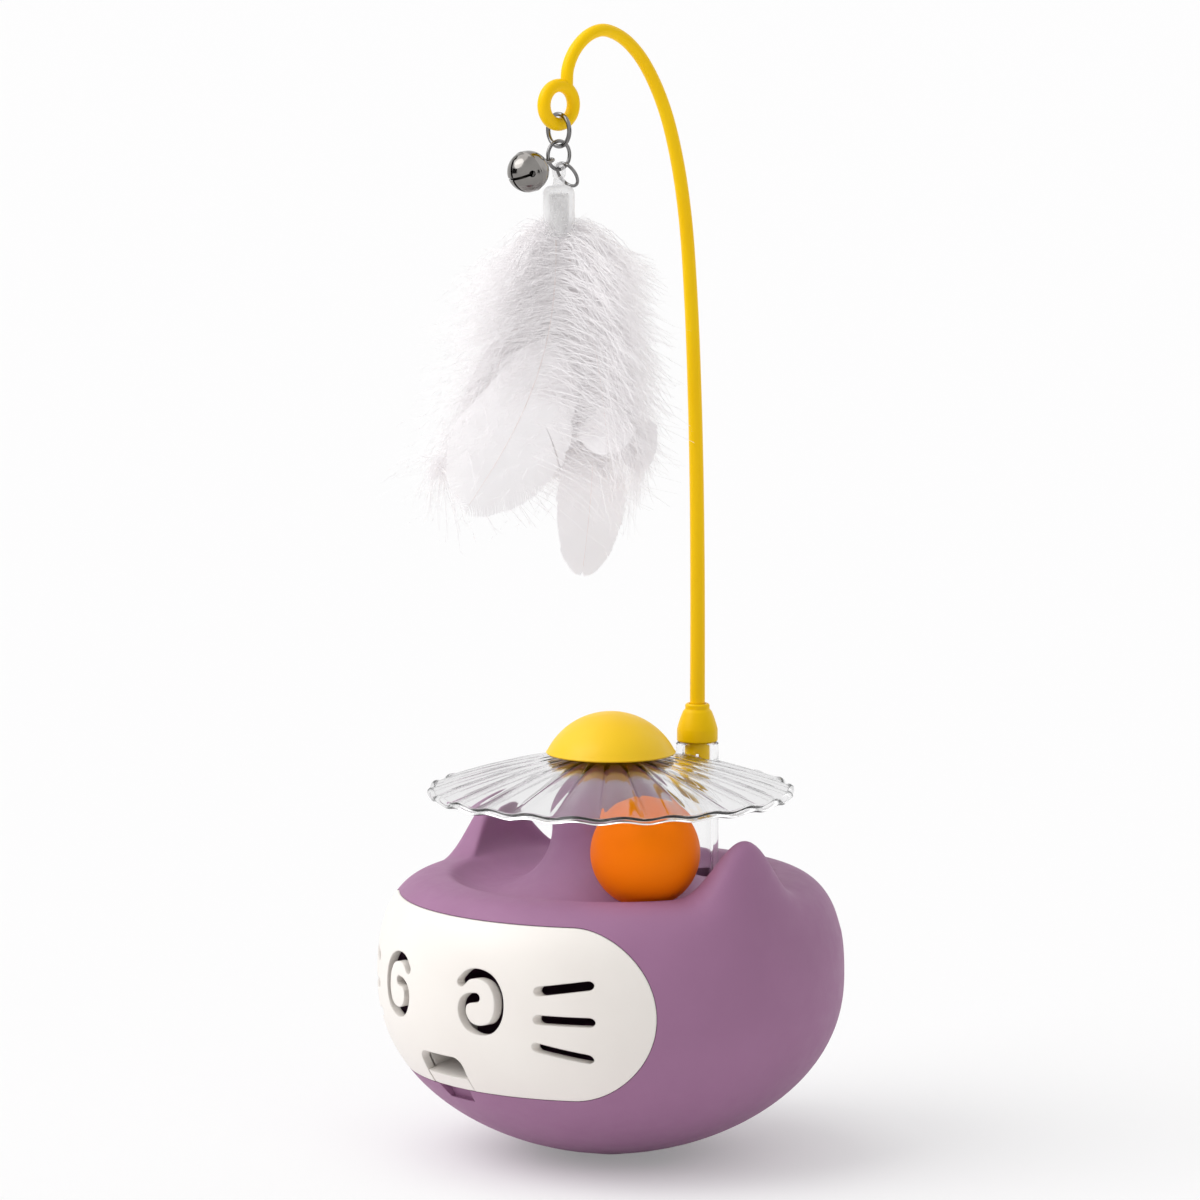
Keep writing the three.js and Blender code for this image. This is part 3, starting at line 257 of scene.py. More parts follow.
def shape(base: bpy.types.Object, tool: Draft, cut: Cut, crease: float = 40) -> None:
    """Changes a piece with a tool shape.

    Args:
        base: The piece.
        tool: The shape added or taken away.
        cut: Which of the two.
        crease: Edges sharper than this many degrees stay sharp.
    """
    helper = tool.piece("tool", [])
    change = base.modifiers.new("shape", "BOOLEAN")
    change.operation = cut.value
    change.solver = "EXACT"
    change.object = helper
    graph = bpy.context.evaluated_depsgraph_get()
    mesh = bpy.data.meshes.new_from_object(base.evaluated_get(graph))
    base.modifiers.clear()
    old = base.data
    base.data = mesh
    bpy.data.meshes.remove(old)
    bpy.data.objects.remove(helper)
    smooth(base, crease)


def lathe(outline: Sequence[Point], sides: int, closed: bool = False) -> Draft:
    """Turns an outline round the Z axis.

    Args:
        outline: Radius and height of each point.
        sides: Number of sides all round.
        closed: The outline is a loop that doesn't touch the axis.

    Returns:
        The turned shape.
    """
    drawn = Draft()
    turns = steps(0, 2 * math.pi, sides)[:-1]
    rings = [[Vector((radius * math.cos(turn), radius * math.sin(turn), height)) for turn in turns]
             for radius, height in outline]
    drawn.rings(rings, ends=not closed, loop=closed)
    return drawn


def wire(line: Sequence[Vector], radius_at: Callable[[float], float], sides: int,
         drawn: Draft | None = None, finish: int = 0) -> Draft:
    """Draws a round wire along a line.

    Args:
        line: Its centre line.
        radius_at: Radius at a share of the length.
        sides: Number of sides.
        drawn: A draft that the wire joins.
        finish: Which of the piece's materials it shows.

    Returns:
        The draft with the wire.
    """
    drawn = drawn or Draft()
    across = Vector((0, 1, 0))
    rings = []
    for i, point in enumerate(line):
        ahead = (line[min(i + 1, len(line) - 1)] - line[max(i - 1, 0)]).normalized()
        across = (across - ahead * across.dot(ahead))
        if across.length < 1e-4:
            across = ahead.orthogonal()
        across.normalize()
        other = ahead.cross(across)
        radius = radius_at(i / (len(line) - 1))
        rings.append([point + across * (radius * math.cos(turn)) + other * (radius * math.sin(turn))
                      for turn in steps(0, 2 * math.pi, sides)[:-1]])
    drawn.rings(rings, finish=finish)
    return drawn


def hoop(radius: float, thickness: float, drawn: Draft | None = None, change: Matrix | None = None,
         sides: int = 96, wire_sides: int = 20) -> Draft:
    """Draws a wire ring that stands in the XZ plane.

    Args:
        radius: Of the wire's centre line.
        thickness: Radius of the wire.
        drawn: A draft that the ring joins.
        change: Where the ring goes.
        sides: Number of sides round the ring.
        wire_sides: Number of sides round the wire.

    Returns:
        The draft with the ring.
    """
    drawn = drawn or Draft()
    change = change or Matrix.Identity(4)
    rings = []
    for turn in steps(0, 2 * math.pi, sides)[:-1]:
        out = Vector((math.cos(turn), 0, math.sin(turn)))
        rings.append([change @ (out * (radius + thickness * math.cos(small))
                                + Vector((0, thickness * math.sin(small), 0)))
                      for small in steps(0, 2 * math.pi, wire_sides)[:-1]])
    drawn.rings(rings, loop=True)
    return drawn


def ball_shape(radius: float, sides: int = 96) -> Draft:
    """Draws a sphere about the origin."""
    return lathe([(radius * math.sin(turn), -radius * math.cos(turn))
                  for turn in steps(0, math.pi, sides // 2)], sides)


def prism_along_y(outline: Sequence[Point], front: float, back: float) -> Draft:
    """Draws a prism with an outline in X and Z.

    Args:
        outline: The outline's points.
        front: Y of its first face.
        back: Y of its last face.

    Returns:
        The prism.
    """
    drawn = Draft()
    drawn.rings([[Vector((x, y, z)) for x, z in outline] for y in (front, back)])
    return drawn


def prism_along_x(outline: Sequence[Point], half_width: float) -> Draft:
    """Draws a prism with an outline in Y and Z.

    Args:
        outline: The outline's points.
        half_width: How far it reaches to each side.

    Returns:
        The prism.
    """
    drawn = Draft()
    drawn.rings([[Vector((x, y, z)) for y, z in outline] for x in (-half_width, half_width)])
    return drawn


def bar(half_length: float, half_width: float, low: float, high: float) -> Draft:
    """Draws an upright bar about the Z axis.

    Args:
        half_length: Half its size along X.
        half_width: Half its size along Y.
        low: Height of its lower face.
        high: Height of its upper face.

    Returns:
        The bar.
    """
    drawn = Draft()
    corners = [(-half_length, -half_width), (half_length, -half_width),
               (half_length, half_width), (-half_length, half_width)]
    drawn.rings([[Vector((x, y, z)) for x, y in corners] for z in (low, high)])
    return drawn


def node_middle(node: str) -> Vector:
    """Middle of a solid's box, in millimetres."""
    low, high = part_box(node)
    return (Vector(low) + Vector(high)) / 2 / MM


def slot_outline(path: Sequence[Point], width: float) -> list[Point]:
    """Outline of a slot with round ends along a path.

    Args:
        path: The slot's centre line in X and Z.
        width: The slot's width.

    Returns:
        The outline's points.
    """
    line = [Vector((x, z, 0)) for x, z in path]
    if len(line) > 2:
        line = smooth_line(line, 7)
    half = width / 2
    left, right = [], []
    for i, point in enumerate(line):
        ahead = (line[min(i + 1, len(line) - 1)] - line[max(i - 1, 0)]).normalized()
        side = Vector((-ahead.y, ahead.x, 0)) * half
        left.append(point + side)
        right.append(point - side)

    def cap(middle: Vector, ahead: Vector) -> list[Vector]:
        """The round end of the slot.

        Args:
            middle: Where the centre line ends.
            ahead: The direction in which it ends.

        Returns:
            The points between the slot's two sides.
        """
        side = Vector((-ahead.y, ahead.x, 0))
        return [middle + (side * math.cos(turn) + ahead * math.sin(turn)) * half
                for turn in steps(0, math.pi, 12)[1:-1]]

    end = (line[-1] - line[-2]).normalized()
    start = (line[0] - line[1]).normalized()
    outline = [*left, *cap(line[-1], end), *reversed(right), *cap(line[0], start)]
    return [(point.x, point.y) for point in outline]


# Finishes

class Nodes:
    """Short hand for a material's nodes."""

    def __init__(self, name: str) -> None:
        """Makes a material with only a surface shader.

        Args:
            name: The material's name.
        """
        self.material = bpy.data.materials.new(name)
        self.material.use_nodes = True
        self.tree = self.material.node_tree
        self.shader = self.tree.nodes["Principled BSDF"]
        self.place = self.tree.nodes.new("ShaderNodeTexCoord").outputs["Object"]

    def add(self, kind: str, **values: object) -> bpy.types.Node:
        """Adds a node and sets its sockets by name.

        Args:
            kind: Blender's name of the node's kind.
            values: The sockets' values, with underscores for the spaces in their names.

        Returns:
            The node.
        """
        node = self.tree.nodes.new(kind)
        for key, value in values.items():
            node.inputs[key.replace("_", " ")].default_value = value
        return node

    def link(self, start: bpy.types.NodeSocket, end: bpy.types.NodeSocket) -> None:
        """Joins two sockets."""
        self.tree.links.new(start, end)

    def noise(self, scale: float, detail: float = 3, stretch: tuple[float, float, float] | None = None
              ) -> bpy.types.NodeSocket:
        """Adds noise that sits on the piece.

        Args:
            scale: Features per metre.
            detail: Octaves.
            stretch: Scale along each axis.

        Returns:
            The noise value.
        """
        node = self.add("ShaderNodeTexNoise", Scale=scale, Detail=detail)
        if stretch:
            mapping = self.add("ShaderNodeMapping", Scale=stretch)
            self.link(self.place, mapping.inputs["Vector"])
            self.link(mapping.outputs["Vector"], node.inputs["Vector"])
        else:
            self.link(self.place, node.inputs["Vector"])
        return node.outputs["Fac"]

    def spread(self, value: bpy.types.NodeSocket, low: float, high: float) -> bpy.types.NodeSocket:
        """Maps noise to a range.

        Args:
            value: The noise.
            low: Result at its low end.
            high: Result at its high end.

        Returns:
            The mapped value.
        """
        node = self.add("ShaderNodeMapRange", From_Min=0.3, From_Max=0.7, To_Min=low, To_Max=high)
        self.link(value, node.inputs["Value"])
        return node.outputs["Result"]

    def blend(self, factor: bpy.types.NodeSocket, first: Colour, second: Colour) -> bpy.types.NodeSocket:
        """Mixes two colours by a factor.

        Args:
            factor: 0 shows the first, 1 the second.
            first: Screen colour.
            second: Screen colour.

        Returns:
            The mixed colour.
        """
        node = self.tree.nodes.new("ShaderNodeMix")
        node.data_type = "RGBA"
        node.inputs[6].default_value = linear(first)
        node.inputs[7].default_value = linear(second)
        self.link(factor, node.inputs[0])
        return node.outputs[2]

    def times(self, first: bpy.types.NodeSocket, second: bpy.types.NodeSocket) -> bpy.types.NodeSocket:
        """Multiplies two values.

        Args:
            first: One of them.
            second: The other.

        Returns:
            Their product.
        """
        node = self.tree.nodes.new("ShaderNodeMath")
        node.operation = "MULTIPLY"
        self.link(first, node.inputs[0])
        self.link(second, node.inputs[1])
        return node.outputs[0]

    def bump(self, height: bpy.types.NodeSocket, depth: float, strength: float,
             below: bpy.types.NodeSocket | None = None) -> bpy.types.NodeSocket:
        """Adds relief.

        Args:
            height: The height value.
            depth: Its depth in metres.
            strength: Share of it that shows.
            below: A normal that the relief is laid on.

        Returns:
            The normal.
        """
        node = self.add("ShaderNodeBump", Strength=strength, Distance=depth)
        self.link(height, node.inputs["Height"])
        if below:
            self.link(below, node.inputs["Normal"])
        return node.outputs["Normal"]

    def soft_edge(self, radius: float) -> bpy.types.NodeSocket:
        """Rounds sharp edges in the shading.

        Args:
            radius: The radius in metres.

        Returns:
            The rounded normal.
        """
        node = self.add("ShaderNodeBevel", Radius=radius)
        node.samples = 6
        return node.outputs["Normal"]


@dataclass(frozen=True)
class MouldedPlastic:
    """Opaque moulded plastic with a fine grain, slight flow marks and softened edges."""

    name: str
    colour: Colour
    shade: Colour
    roughness: float = 0.5
    grain: float = 0.000025
    grain_scale: float = 1800
    edge: float = 0.0004
    shine: float = 0.5

    def material(self) -> bpy.types.Material:
        """Builds the material.

        Returns:
            The material.
        """
        nodes = Nodes(self.name)
        shader = nodes.shader
        flow = nodes.noise(38, 3)
        colour = nodes.blend(nodes.spread(flow, 0, 1), self.colour, self.shade)
        nodes.link(colour, shader.inputs["Base Color"])
        nodes.link(nodes.spread(nodes.noise(260, 4), self.roughness - 0.05, self.roughness + 0.06),
                   shader.inputs["Roughness"])
        edge = nodes.soft_edge(self.edge)
        waves = nodes.bump(nodes.noise(70, 2), 0.00008, 0.25, edge)
        grain = nodes.bump(nodes.noise(self.grain_scale, 4), self.grain, 0.7, waves)
        nodes.link(grain, shader.inputs["Normal"])
        shader.inputs["IOR"].default_value = 1.48
        shader.inputs["Specular IOR Level"].default_value = self.shine
        return nodes.material


@dataclass(frozen=True)
class ClearPlastic:
    """Clear moulded plastic with faint ripples, handling marks and painted shade that greys it at grazing
    angles.
    """

    name: str
    tint: Colour
    roughness: float = 0.03
    ripple: float = 0.00006
    ripple_scale: float = 90
    bend: float = 1.45
    grazing_shade: Colour = (150, 148, 150)
    grazing_shade_spread: float = 0.25

    def material(self) -> bpy.types.Material:
        """Builds the material.

        Returns:
            The material.
        """
        nodes = Nodes(self.name)
        shader = nodes.shader
        # Painted shade: the colour turns a darker grey where the surface is seen at a slant, standing in for
        # the dark edges of clear plastic.
        slant = nodes.add("ShaderNodeLayerWeight", Blend=self.grazing_shade_spread)
        tint = nodes.blend(slant.outputs["Facing"], self.tint, self.grazing_shade)
        nodes.link(tint, shader.inputs["Base Color"])
        shader.inputs["Transmission Weight"].default_value = 1.0
        shader.inputs["IOR"].default_value = self.bend
        marks = nodes.noise(420, 5)
        nodes.link(nodes.spread(marks, self.roughness, self.roughness + 0.05), shader.inputs["Roughness"])
        waves = nodes.bump(nodes.noise(self.ripple_scale, 2), self.ripple, 0.5)
        nodes.link(waves, shader.inputs["Normal"])
        return nodes.material


@dataclass(frozen=True)
class MilkyPlastic:
    """Thin soft plastic that is clear enough to show what it holds."""

    name: str
    colour: Colour
    cover: float = 0.26
    edge_cover: float = 0.85
    roughness: float = 0.2

    def material(self) -> bpy.types.Material:
        """Builds the material.

        Returns:
            The material.
        """
        nodes = Nodes(self.name)
        shader = nodes.shader
        shader.inputs["Base Color"].default_value = linear(self.colour)
        slant = nodes.add("ShaderNodeLayerWeight", Blend=0.35)
        cover = nodes.add("ShaderNodeMapRange", From_Min=0.1, From_Max=0.9, To_Min=self.cover,
                          To_Max=self.edge_cover)
        nodes.link(slant.outputs["Facing"], cover.inputs["Value"])
        nodes.link(cover.outputs["Result"], shader.inputs["Alpha"])
        nodes.link(nodes.spread(nodes.noise(420, 4), self.roughness, self.roughness + 0.12),
                   shader.inputs["Roughness"])
        nodes.link(nodes.bump(nodes.noise(260, 2), 0.00001, 0.3), shader.inputs["Normal"])
        return nodes.material


@dataclass(frozen=True)
class BareMetal:
    """Bare or plated metal with fine drawing marks and faint wear."""

    name: str
    colour: Colour
    worn: Colour
    roughness: float = 0.2
    marks_scale: float = 900

    def material(self) -> bpy.types.Material:
        """Builds the material.

        Returns:
            The material.
        """
        nodes = Nodes(self.name)
        shader = nodes.shader
        shader.inputs["Metallic"].default_value = 1.0
        wear = nodes.spread(nodes.noise(240, 5), 0, 1)
        nodes.link(nodes.blend(wear, self.colour, self.worn), shader.inputs["Base Color"])
        nodes.link(nodes.spread(nodes.noise(600, 4), self.roughness - 0.04, self.roughness + 0.1),
                   shader.inputs["Roughness"])
        drawn = nodes.bump(nodes.noise(self.marks_scale, 3, (1, 1, 6)), 0.00002, 0.4)
        nodes.link(drawn, shader.inputs["Normal"])
        return nodes.material


@dataclass(frozen=True)
class FeatherVane:
    """Soft white barbs with a faint painted glow: an emission in their own colour that lifts their shade."""

    name: str
    colour: Colour
    shade: Colour
    # Strength of the painted glow that brightens the barbs.
    glow: float = 0.06

    def material(self) -> bpy.types.Material:
        """Builds the material.

        Returns:
            The material.
        """
        nodes = Nodes(self.name)
        shader = nodes.shader
        nodes.link(nodes.blend(nodes.spread(nodes.noise(300, 4), 0, 1), self.colour, self.shade),
                   shader.inputs["Base Color"])
        shader.inputs["Roughness"].default_value = 0.8
        shader.inputs["Sheen Weight"].default_value = 0.3
        shader.inputs["Specular IOR Level"].default_value = 0.2
        # Painted glow: a faint emission brightens the barbs, which are no lamp.
        shader.inputs["Emission Color"].default_value = linear(self.colour)
        shader.inputs["Emission Strength"].default_value = self.glow
        nodes.link(nodes.bump(nodes.noise(2600, 3), 0.00003, 0.4), shader.inputs["Normal"])
        return nodes.material


PURPLE_SHELL = MouldedPlastic("purple_shell", (162, 116, 151), (156, 111, 145), roughness=0.56,
                              grain=0.00005, grain_scale=1500, shine=0.3)
WHITE_MASK = MouldedPlastic("white_mask", (244, 239, 233), (240, 234, 228), roughness=0.42,
                            grain=0.000012, grain_scale=1500, edge=0.0006)
ORANGE_BALL = MouldedPlastic("orange_ball", (255, 127, 0), (255, 120, 0), roughness=0.5,
                             grain=0.000015, grain_scale=900, shine=0.08)
YELLOW_CAP = MouldedPlastic("yellow_cap", (255, 209, 36), (253, 202, 26), roughness=0.42,
                            grain=0.000015, grain_scale=1200, shine=0.3)
YELLOW_WAND = MouldedPlastic("yellow_wand", (255, 209, 2), (255, 203, 0), roughness=0.34,
                             grain=0.00001, grain_scale=1200, shine=0.15)
WHITE_PLUG = MouldedPlastic("white_plug", (250, 249, 248), (245, 244, 243), roughness=0.5, grain=0.00001)
QUILL = MouldedPlastic("white_quill", (250, 243, 240), (244, 236, 232), roughness=0.4,
                       grain=0.000004, grain_scale=2000, edge=0.00002)
# The canopy and the tube turn grey at grazing angles: painted shade.
CLEAR_CANOPY = ClearPlastic("clear_canopy", (248, 248, 248), roughness=0.02, ripple=0.00005,
                            ripple_scale=120, grazing_shade=(176, 173, 176))
CLEAR_TUBE = ClearPlastic("clear_tube", (252, 252, 252), roughness=0.02, ripple=0.00002,
                          ripple_scale=150, bend=1.16, grazing_shade=(226, 226, 226))
CLEAR_HOLDER = MilkyPlastic("clear_holder", (250, 249, 250))
RING_STEEL = BareMetal("steel_rings", (140, 139, 139), (112, 111, 111), roughness=0.16)
BELL_METAL = BareMetal("bell_metal", (140, 137, 134), (124, 121, 118), roughness=0.11, marks_scale=500)
WEIGHT_STEEL = BareMetal("weight_steel", (128, 128, 130), (104, 104, 106), roughness=0.42, marks_scale=400)
SCREW_STEEL = BareMetal("screw_steel", (150, 150, 152), (126, 126, 128), roughness=0.32, marks_scale=400)
WHITE_FEATHER = FeatherVane("white_feather", (254, 252, 253), (250, 247, 248))


# Body

@dataclass
class BodyOutline:
    """The round body's outer surface, in millimetres."""

    belly_radius: float = 62.4
    belly_height: float = 48
    lower_height_power: float = 2.2
    lower_radius_power: float = 1.8
    upper_power: float = 2.5
    rim_radius: float = 44.8
    rim_height: float = 75.1
    wall: float = 2.4

    def radius(self, height: float) -> float:
        """Outer radius between the ears.

        Args:
            height: Height above the floor.

        Returns:
            The radius at that height.
        """
        if height < self.belly_height:
            fall = (1 - max(height, 0) / self.belly_height) ** self.lower_height_power
            return self.belly_radius * (1 - fall) ** (1 / self.lower_radius_power)
        rise = min((height - self.belly_height) / (self.rim_height - self.belly_height), 1)
        flank = (1 - rise ** self.upper_power) ** (1 / self.upper_power)
        return self.rim_radius + (self.belly_radius - self.rim_radius) * flank

    def bowl_height(self, radius: float) -> float:
        """Height of the bowl, below the widest circle.

        Args:
            radius: Distance from the axis.

        Returns:
            The height at that radius.
        """
        share = (radius / self.belly_radius) ** self.lower_radius_power
        return self.belly_height * (1 - (1 - share) ** (1 / self.lower_height_power))


@dataclass
class FaceMask:
    """White face plate let into the body's front, with its slots and mouth."""

    body: BodyOutline
    wall: float = 2.6
    middle_height: float = 47.5
    half_height: float = 22.9
    straight: float = 42
    ledge: float = 4
    ledge_wall: float = 2
    ledge_skirt: float = 3.5
    gap: float = 0.3
    seam: float = 0.14
    eye_slot: float = 2.6
    whisker_slot: float = 2.5
    mouth_top: float = 34
    mouth_half_width: float = 8.3
    mouth_corner: float = 2.8
    eye_path: tuple[Point, ...] = (
        (10.8, 55.0), (12.9, 57.0), (15.9, 57.6), (19.5, 56.5), (21.8, 53.4), (22.4, 50.2), (21.9, 46.6),
        (19.9, 43.8), (16.5, 42.8), (13.3, 43.7), (11.4, 46.6), (11.6, 49.5), (13.2, 50.9), (15.6, 51.3))
    whiskers: tuple[tuple[Point, Point], ...] = (
        ((32.3, 54.5), (42.4, 56.4)), ((32.3, 47.1), (42.9, 46.9)), ((31.4, 39.7), (41.6, 37.1)))

    def patch(self, outset: float, outer_depth: float, inner_depth: float) -> Draft:
        """A piece of the body's skin with the mask's outline.

        Args:
            outset: How far it reaches past the mask's outline.
            outer_depth: Depth of its outer face under the body's surface.
            inner_depth: Depth of its inner face.

        Returns:
            The closed patch.
        """
        end_radius = self.half_height + outset
        ends = [math.radians(turn) for turn in steps(0, 88, 22)[1:]]
        places = [(-self.straight - end_radius * math.sin(turn), end_radius * math.cos(turn))
                  for turn in reversed(ends)]
        places += [(along, end_radius) for along in steps(-self.straight, self.straight, 64)]
        places += [(self.straight + end_radius * math.sin(turn), end_radius * math.cos(turn))
                   for turn in ends]
        drawn = Draft()
        rings = []
        for along, half in places:
            turn = along / self.body.belly_radius
            ring = []
            for shares, depth in ((steps(-1, 1, 36), outer_depth), (steps(1, -1, 36), inner_depth)):
                for share in shares:
                    height = self.middle_height + half * share
                    radius = self.body.radius(height) - depth
                    ring.append(Vector((radius * math.sin(turn), -radius * math.cos(turn), height)))
            rings.append(ring)
        drawn.rings(rings)
        return drawn

    def mouth_outline(self) -> list[Point]:
        """The mouth's outline, open downwards past the mask's lower edge.

        Returns:
            The outline's points in X and Z.
        """
        bottom = self.middle_height - self.half_height - self.body.wall
        corner = [math.radians(turn) for turn in steps(0, 90, 10)]
        right = [(self.mouth_half_width - self.mouth_corner * (1 - math.cos(turn)),
                  self.mouth_top - self.mouth_corner * (1 - math.sin(turn))) for turn in corner]
        left = [(-x, z) for x, z in reversed(right)]
        return [(-self.mouth_half_width, bottom), (self.mouth_half_width, bottom), *right, *left]

    def build(self) -> None:
        """Builds the mask and puts it in its place."""
        plate = self.patch(0, 0, self.wall).piece("face_mask_plate", [WHITE_MASK.material()])
        front = -self.body.belly_radius - self.body.wall
        back = -self.body.belly_radius * 0.35
        for side in (1, -1):
            eye = [(side * x, z) for x, z in self.eye_path]
            shape(plate, prism_along_y(slot_outline(eye, self.eye_slot), front, back), Cut.TAKE_AWAY)
            for whisker in self.whiskers:
                path = [(side * x, z) for x, z in whisker]
                slot = slot_outline(path, self.whisker_slot)
                shape(plate, prism_along_y(slot, front, back), Cut.TAKE_AWAY)
        shape(plate, prism_along_y(self.mouth_outline(), front, back), Cut.TAKE_AWAY)
        place_piece(plate, "mask", "face_mask")


@dataclass
class BodyShell:
    """Purple body with its ears, ball channel, hollow post and the mask's seat."""

    body: BodyOutline
    mask: FaceMask
    ear_tip_radius: float = 49.8
    ear_tip_height: float = 90.4
    ear_tip_round: float = 3
    ear_turn: float = 3
    ear_root_height: float = 62
    ear_reach: float = 18
    ear_foot_inset: float = 4.6
    ear_foot_rise: float = 2.2
    ear_spread_power: float = 0.55
    rim_lip: float = 0.9
    track_radius: float = 32
    deck_height: float = 71.1
    post_radius: float = 15.6
    post_shoulder_height: float = 91
    post_top_radius: float = 9.4
    post_top_height: float = 105.2
    post_neck_depth: float = 9
    post_bore: float = 6.8
    cap_radius: float = 26.3
    plate_height: float = 7.2
    plate_hole: float = 11
    sill_top: float = 28
    sill_rise: float = 0.24
    chute_floor: float = 1.6
    chute_length: float = 15
    chute_half_width: float = 9.8
    chute_side_height: float = 7
    notch_top_half_width: float = 6.3
    notch_bottom_half_width: float = 4.8
    notch_bottom: float = 20.9
    notch_foot_depth: float = 1.65
    notch_top_depth: float = 3.75
    socket_offset: float = 31
    socket_radius: float = 6.15
    socket_wall: float = 2
    socket_depth: float = 7.6
    turns: int = 264
    ear_smoothing: int = 14

    def ear_share(self, angle: float) -> float:
        """Share of the full ear height round the axis.

        Args:
            angle: In radians from +X.

        Returns:
            0 between the ears to 1 at an ear's middle.
        """
        lean = math.radians(self.ear_turn)
        ears = (lean, math.pi - lean)
        away = min(abs((angle - ear + math.pi) % (2 * math.pi) - math.pi) for ear in ears)
        return 0.5 + 0.5 * math.cos(math.pi * min(away * self.ear_tip_radius / self.ear_reach, 1))

    def crest_lines(self, channel_end: Point) -> tuple[list[Point], list[Point]]:
        """The plain rim and the full ear, point for point.

        Args:
            channel_end: Where the channel meets the rim.

        Returns:
            The rim's points and the ear's points, from outside to inside.
        """
        body = self.body
        rim = []
        for t in steps(0, 1, 5):
            up = math.sin(t * math.pi / 2)
            height = self.ear_root_height + (body.rim_height - self.ear_root_height) * up
            rim.append((body.radius(height), height))
        inward = body.rim_radius - channel_end[0]
        rim.append((body.rim_radius - inward * 0.3, body.rim_height - self.rim_lip * 0.05))
        rim.append((body.rim_radius - inward * 0.65, body.rim_height - self.rim_lip * 0.35))
        root = body.radius(self.ear_root_height)
        rise = self.ear_tip_height - self.ear_root_height
        round_out = self.ear_tip_round * math.sin(math.pi / 3)
        round_down = self.ear_tip_round * (1 - math.cos(math.pi / 3))
        handles = [
            Vector((root, self.ear_root_height)),
            Vector((root - rise * 0.12, self.ear_root_height + rise * 0.28)),
            Vector((self.ear_tip_radius + round_out + rise * 0.06, self.ear_tip_height - rise * 0.26)),
            Vector((self.ear_tip_radius + round_out, self.ear_tip_height - round_down))]
        ear = []
        for t in steps(0, 1, 4):
            spot = (handles[0] * (1 - t) ** 3 + handles[1] * (3 * t * (1 - t) ** 2)
                    + handles[2] * (3 * t * t * (1 - t)) + handles[3] * t ** 3)
            ear.append((spot.x, spot.y))
        ear.append((self.ear_tip_radius, self.ear_tip_height))
        ear.append((self.ear_tip_radius - round_out, self.ear_tip_height - round_down))
        ear.append((channel_end[0] + self.ear_foot_inset, body.rim_height + self.ear_foot_rise))
        return rim, ear

    def section(self, angle: float) -> list[Point]:
        """The shell's closed section at an angle round the axis.

        Args:
            angle: In radians from +X.

        Returns:
            Radius and height of each point.
        """
        body = self.body
        channel = self.track_radius - self.post_radius
        middle = self.deck_height + channel
        end = math.asin((body.rim_height - self.rim_lip - middle) / channel)

        def on_channel(radius: float, turn: float) -> Point:
            """A point about the channel's own middle, by its distance and its turn."""
            return self.track_radius + radius * math.cos(turn), middle + radius * math.sin(turn)

        channel_end = on_channel(channel, end)
        rim, ear = self.crest_lines(channel_end)
        share = self.ear_share(angle)
        points = [(self.plate_hole, self.plate_height), (self.cap_radius, self.plate_height)]
        start = body.bowl_height(self.cap_radius)
        for t in steps(0, 1, 44):
            height = start + (body.belly_height - start) * t ** 1.45
            points.append((body.radius(height), height))
        rise = self.ear_root_height - body.belly_height
        for t in steps(0, 0.8, 6)[1:]:
            points.append((body.radius(body.belly_height + rise * t), body.belly_height + rise * t))
        spread = share ** self.ear_spread_power
        crest = [Vector((a[0] + (b[0] - a[0]) * spread, a[1] + (b[1] - a[1]) * share))
                 for a, b in zip(rim, ear)]
        line = smooth_line([*crest, Vector(channel_end)], 6)
        points += [(spot.x, spot.y) for spot in line]
        points += [on_channel(channel, turn) for turn in steps(end, -math.pi, 40)[1:]]
        for t in steps(0, 1, 14):
            out = max(math.cos(t * math.pi / 2), 0) ** 0.8
            up = math.sin(t * math.pi / 2)
            points.append((
                self.post_top_radius + (self.post_radius - self.post_top_radius) * out,
                self.post_shoulder_height + (self.post_top_height - self.post_shoulder_height) * up))
        points += [(self.post_bore, self.post_top_height),
                   (self.post_bore, self.post_top_height - self.post_neck_depth),
                   (self.post_radius - body.wall, self.post_shoulder_height - body.wall * 2)]
        points += [on_channel(channel + body.wall, turn) for turn in steps(-math.pi, -math.pi * 0.34, 14)[1:]]
        under_rim = body.rim_height - body.wall * 2.6
        points.append((body.radius(under_rim) - body.wall * 1.5, under_rim))
        plate_top = self.plate_height + body.wall
        for height in steps(under_rim - body.wall * 2, plate_top, 16):
            points.append((body.radius(height) - body.wall, height))
        points.append((self.plate_hole, plate_top))
        return points

    def build(self) -> None:
        """Builds the shell and puts it in its place."""
        drawn = Draft()
        rings = []
        for angle in steps(0, 2 * math.pi, self.turns)[:-1]:
            rings.append([Vector((radius * math.cos(angle), radius * math.sin(angle), height))
                          for radius, height in self.section(angle)])
        drawn.rings(rings, loop=True)
        shell = drawn.piece("body_moulding", [PURPLE_SHELL.material()])
        self.round_ears(shell)
        mask = self.mask
        depth = mask.wall + mask.gap
        shape(shell, mask.patch(mask.ledge_skirt, self.body.wall / 2, depth + mask.ledge_wall), Cut.ADD)
        shape(shell, mask.patch(mask.seam, -self.body.wall, depth), Cut.TAKE_AWAY)
        past_ledge = depth + mask.ledge_wall + self.body.wall
        shape(shell, mask.patch(-mask.ledge, -self.body.wall, past_ledge), Cut.TAKE_AWAY)
        self.cut_notch(shell)
        self.cut_chute_slot(shell)
        self.add_socket(shell)
        place_piece(shell, "base", "body_shell")

    def round_ears(self, shell: bpy.types.Object) -> None:
        """Softens the ears' ridges, as the moulded ones are.

        Args:
            shell: The turned shell, before anything is cut out of it.
        """
        work = bmesh.new()
        work.from_mesh(shell.data)
        low = self.ear_root_height * MM
        inner = (self.track_radius + self.track_radius * 0.28) * MM
        soft = [vert for vert in work.verts if vert.co.z > low and vert.co.xy.length > inner]
        for _ in range(self.ear_smoothing):
            bmesh.ops.smooth_vert(work, verts=soft, factor=0.5,
                                  use_axis_x=True, use_axis_y=True, use_axis_z=True)
        work.to_mesh(shell.data)
        work.free()
        smooth(shell, 40)

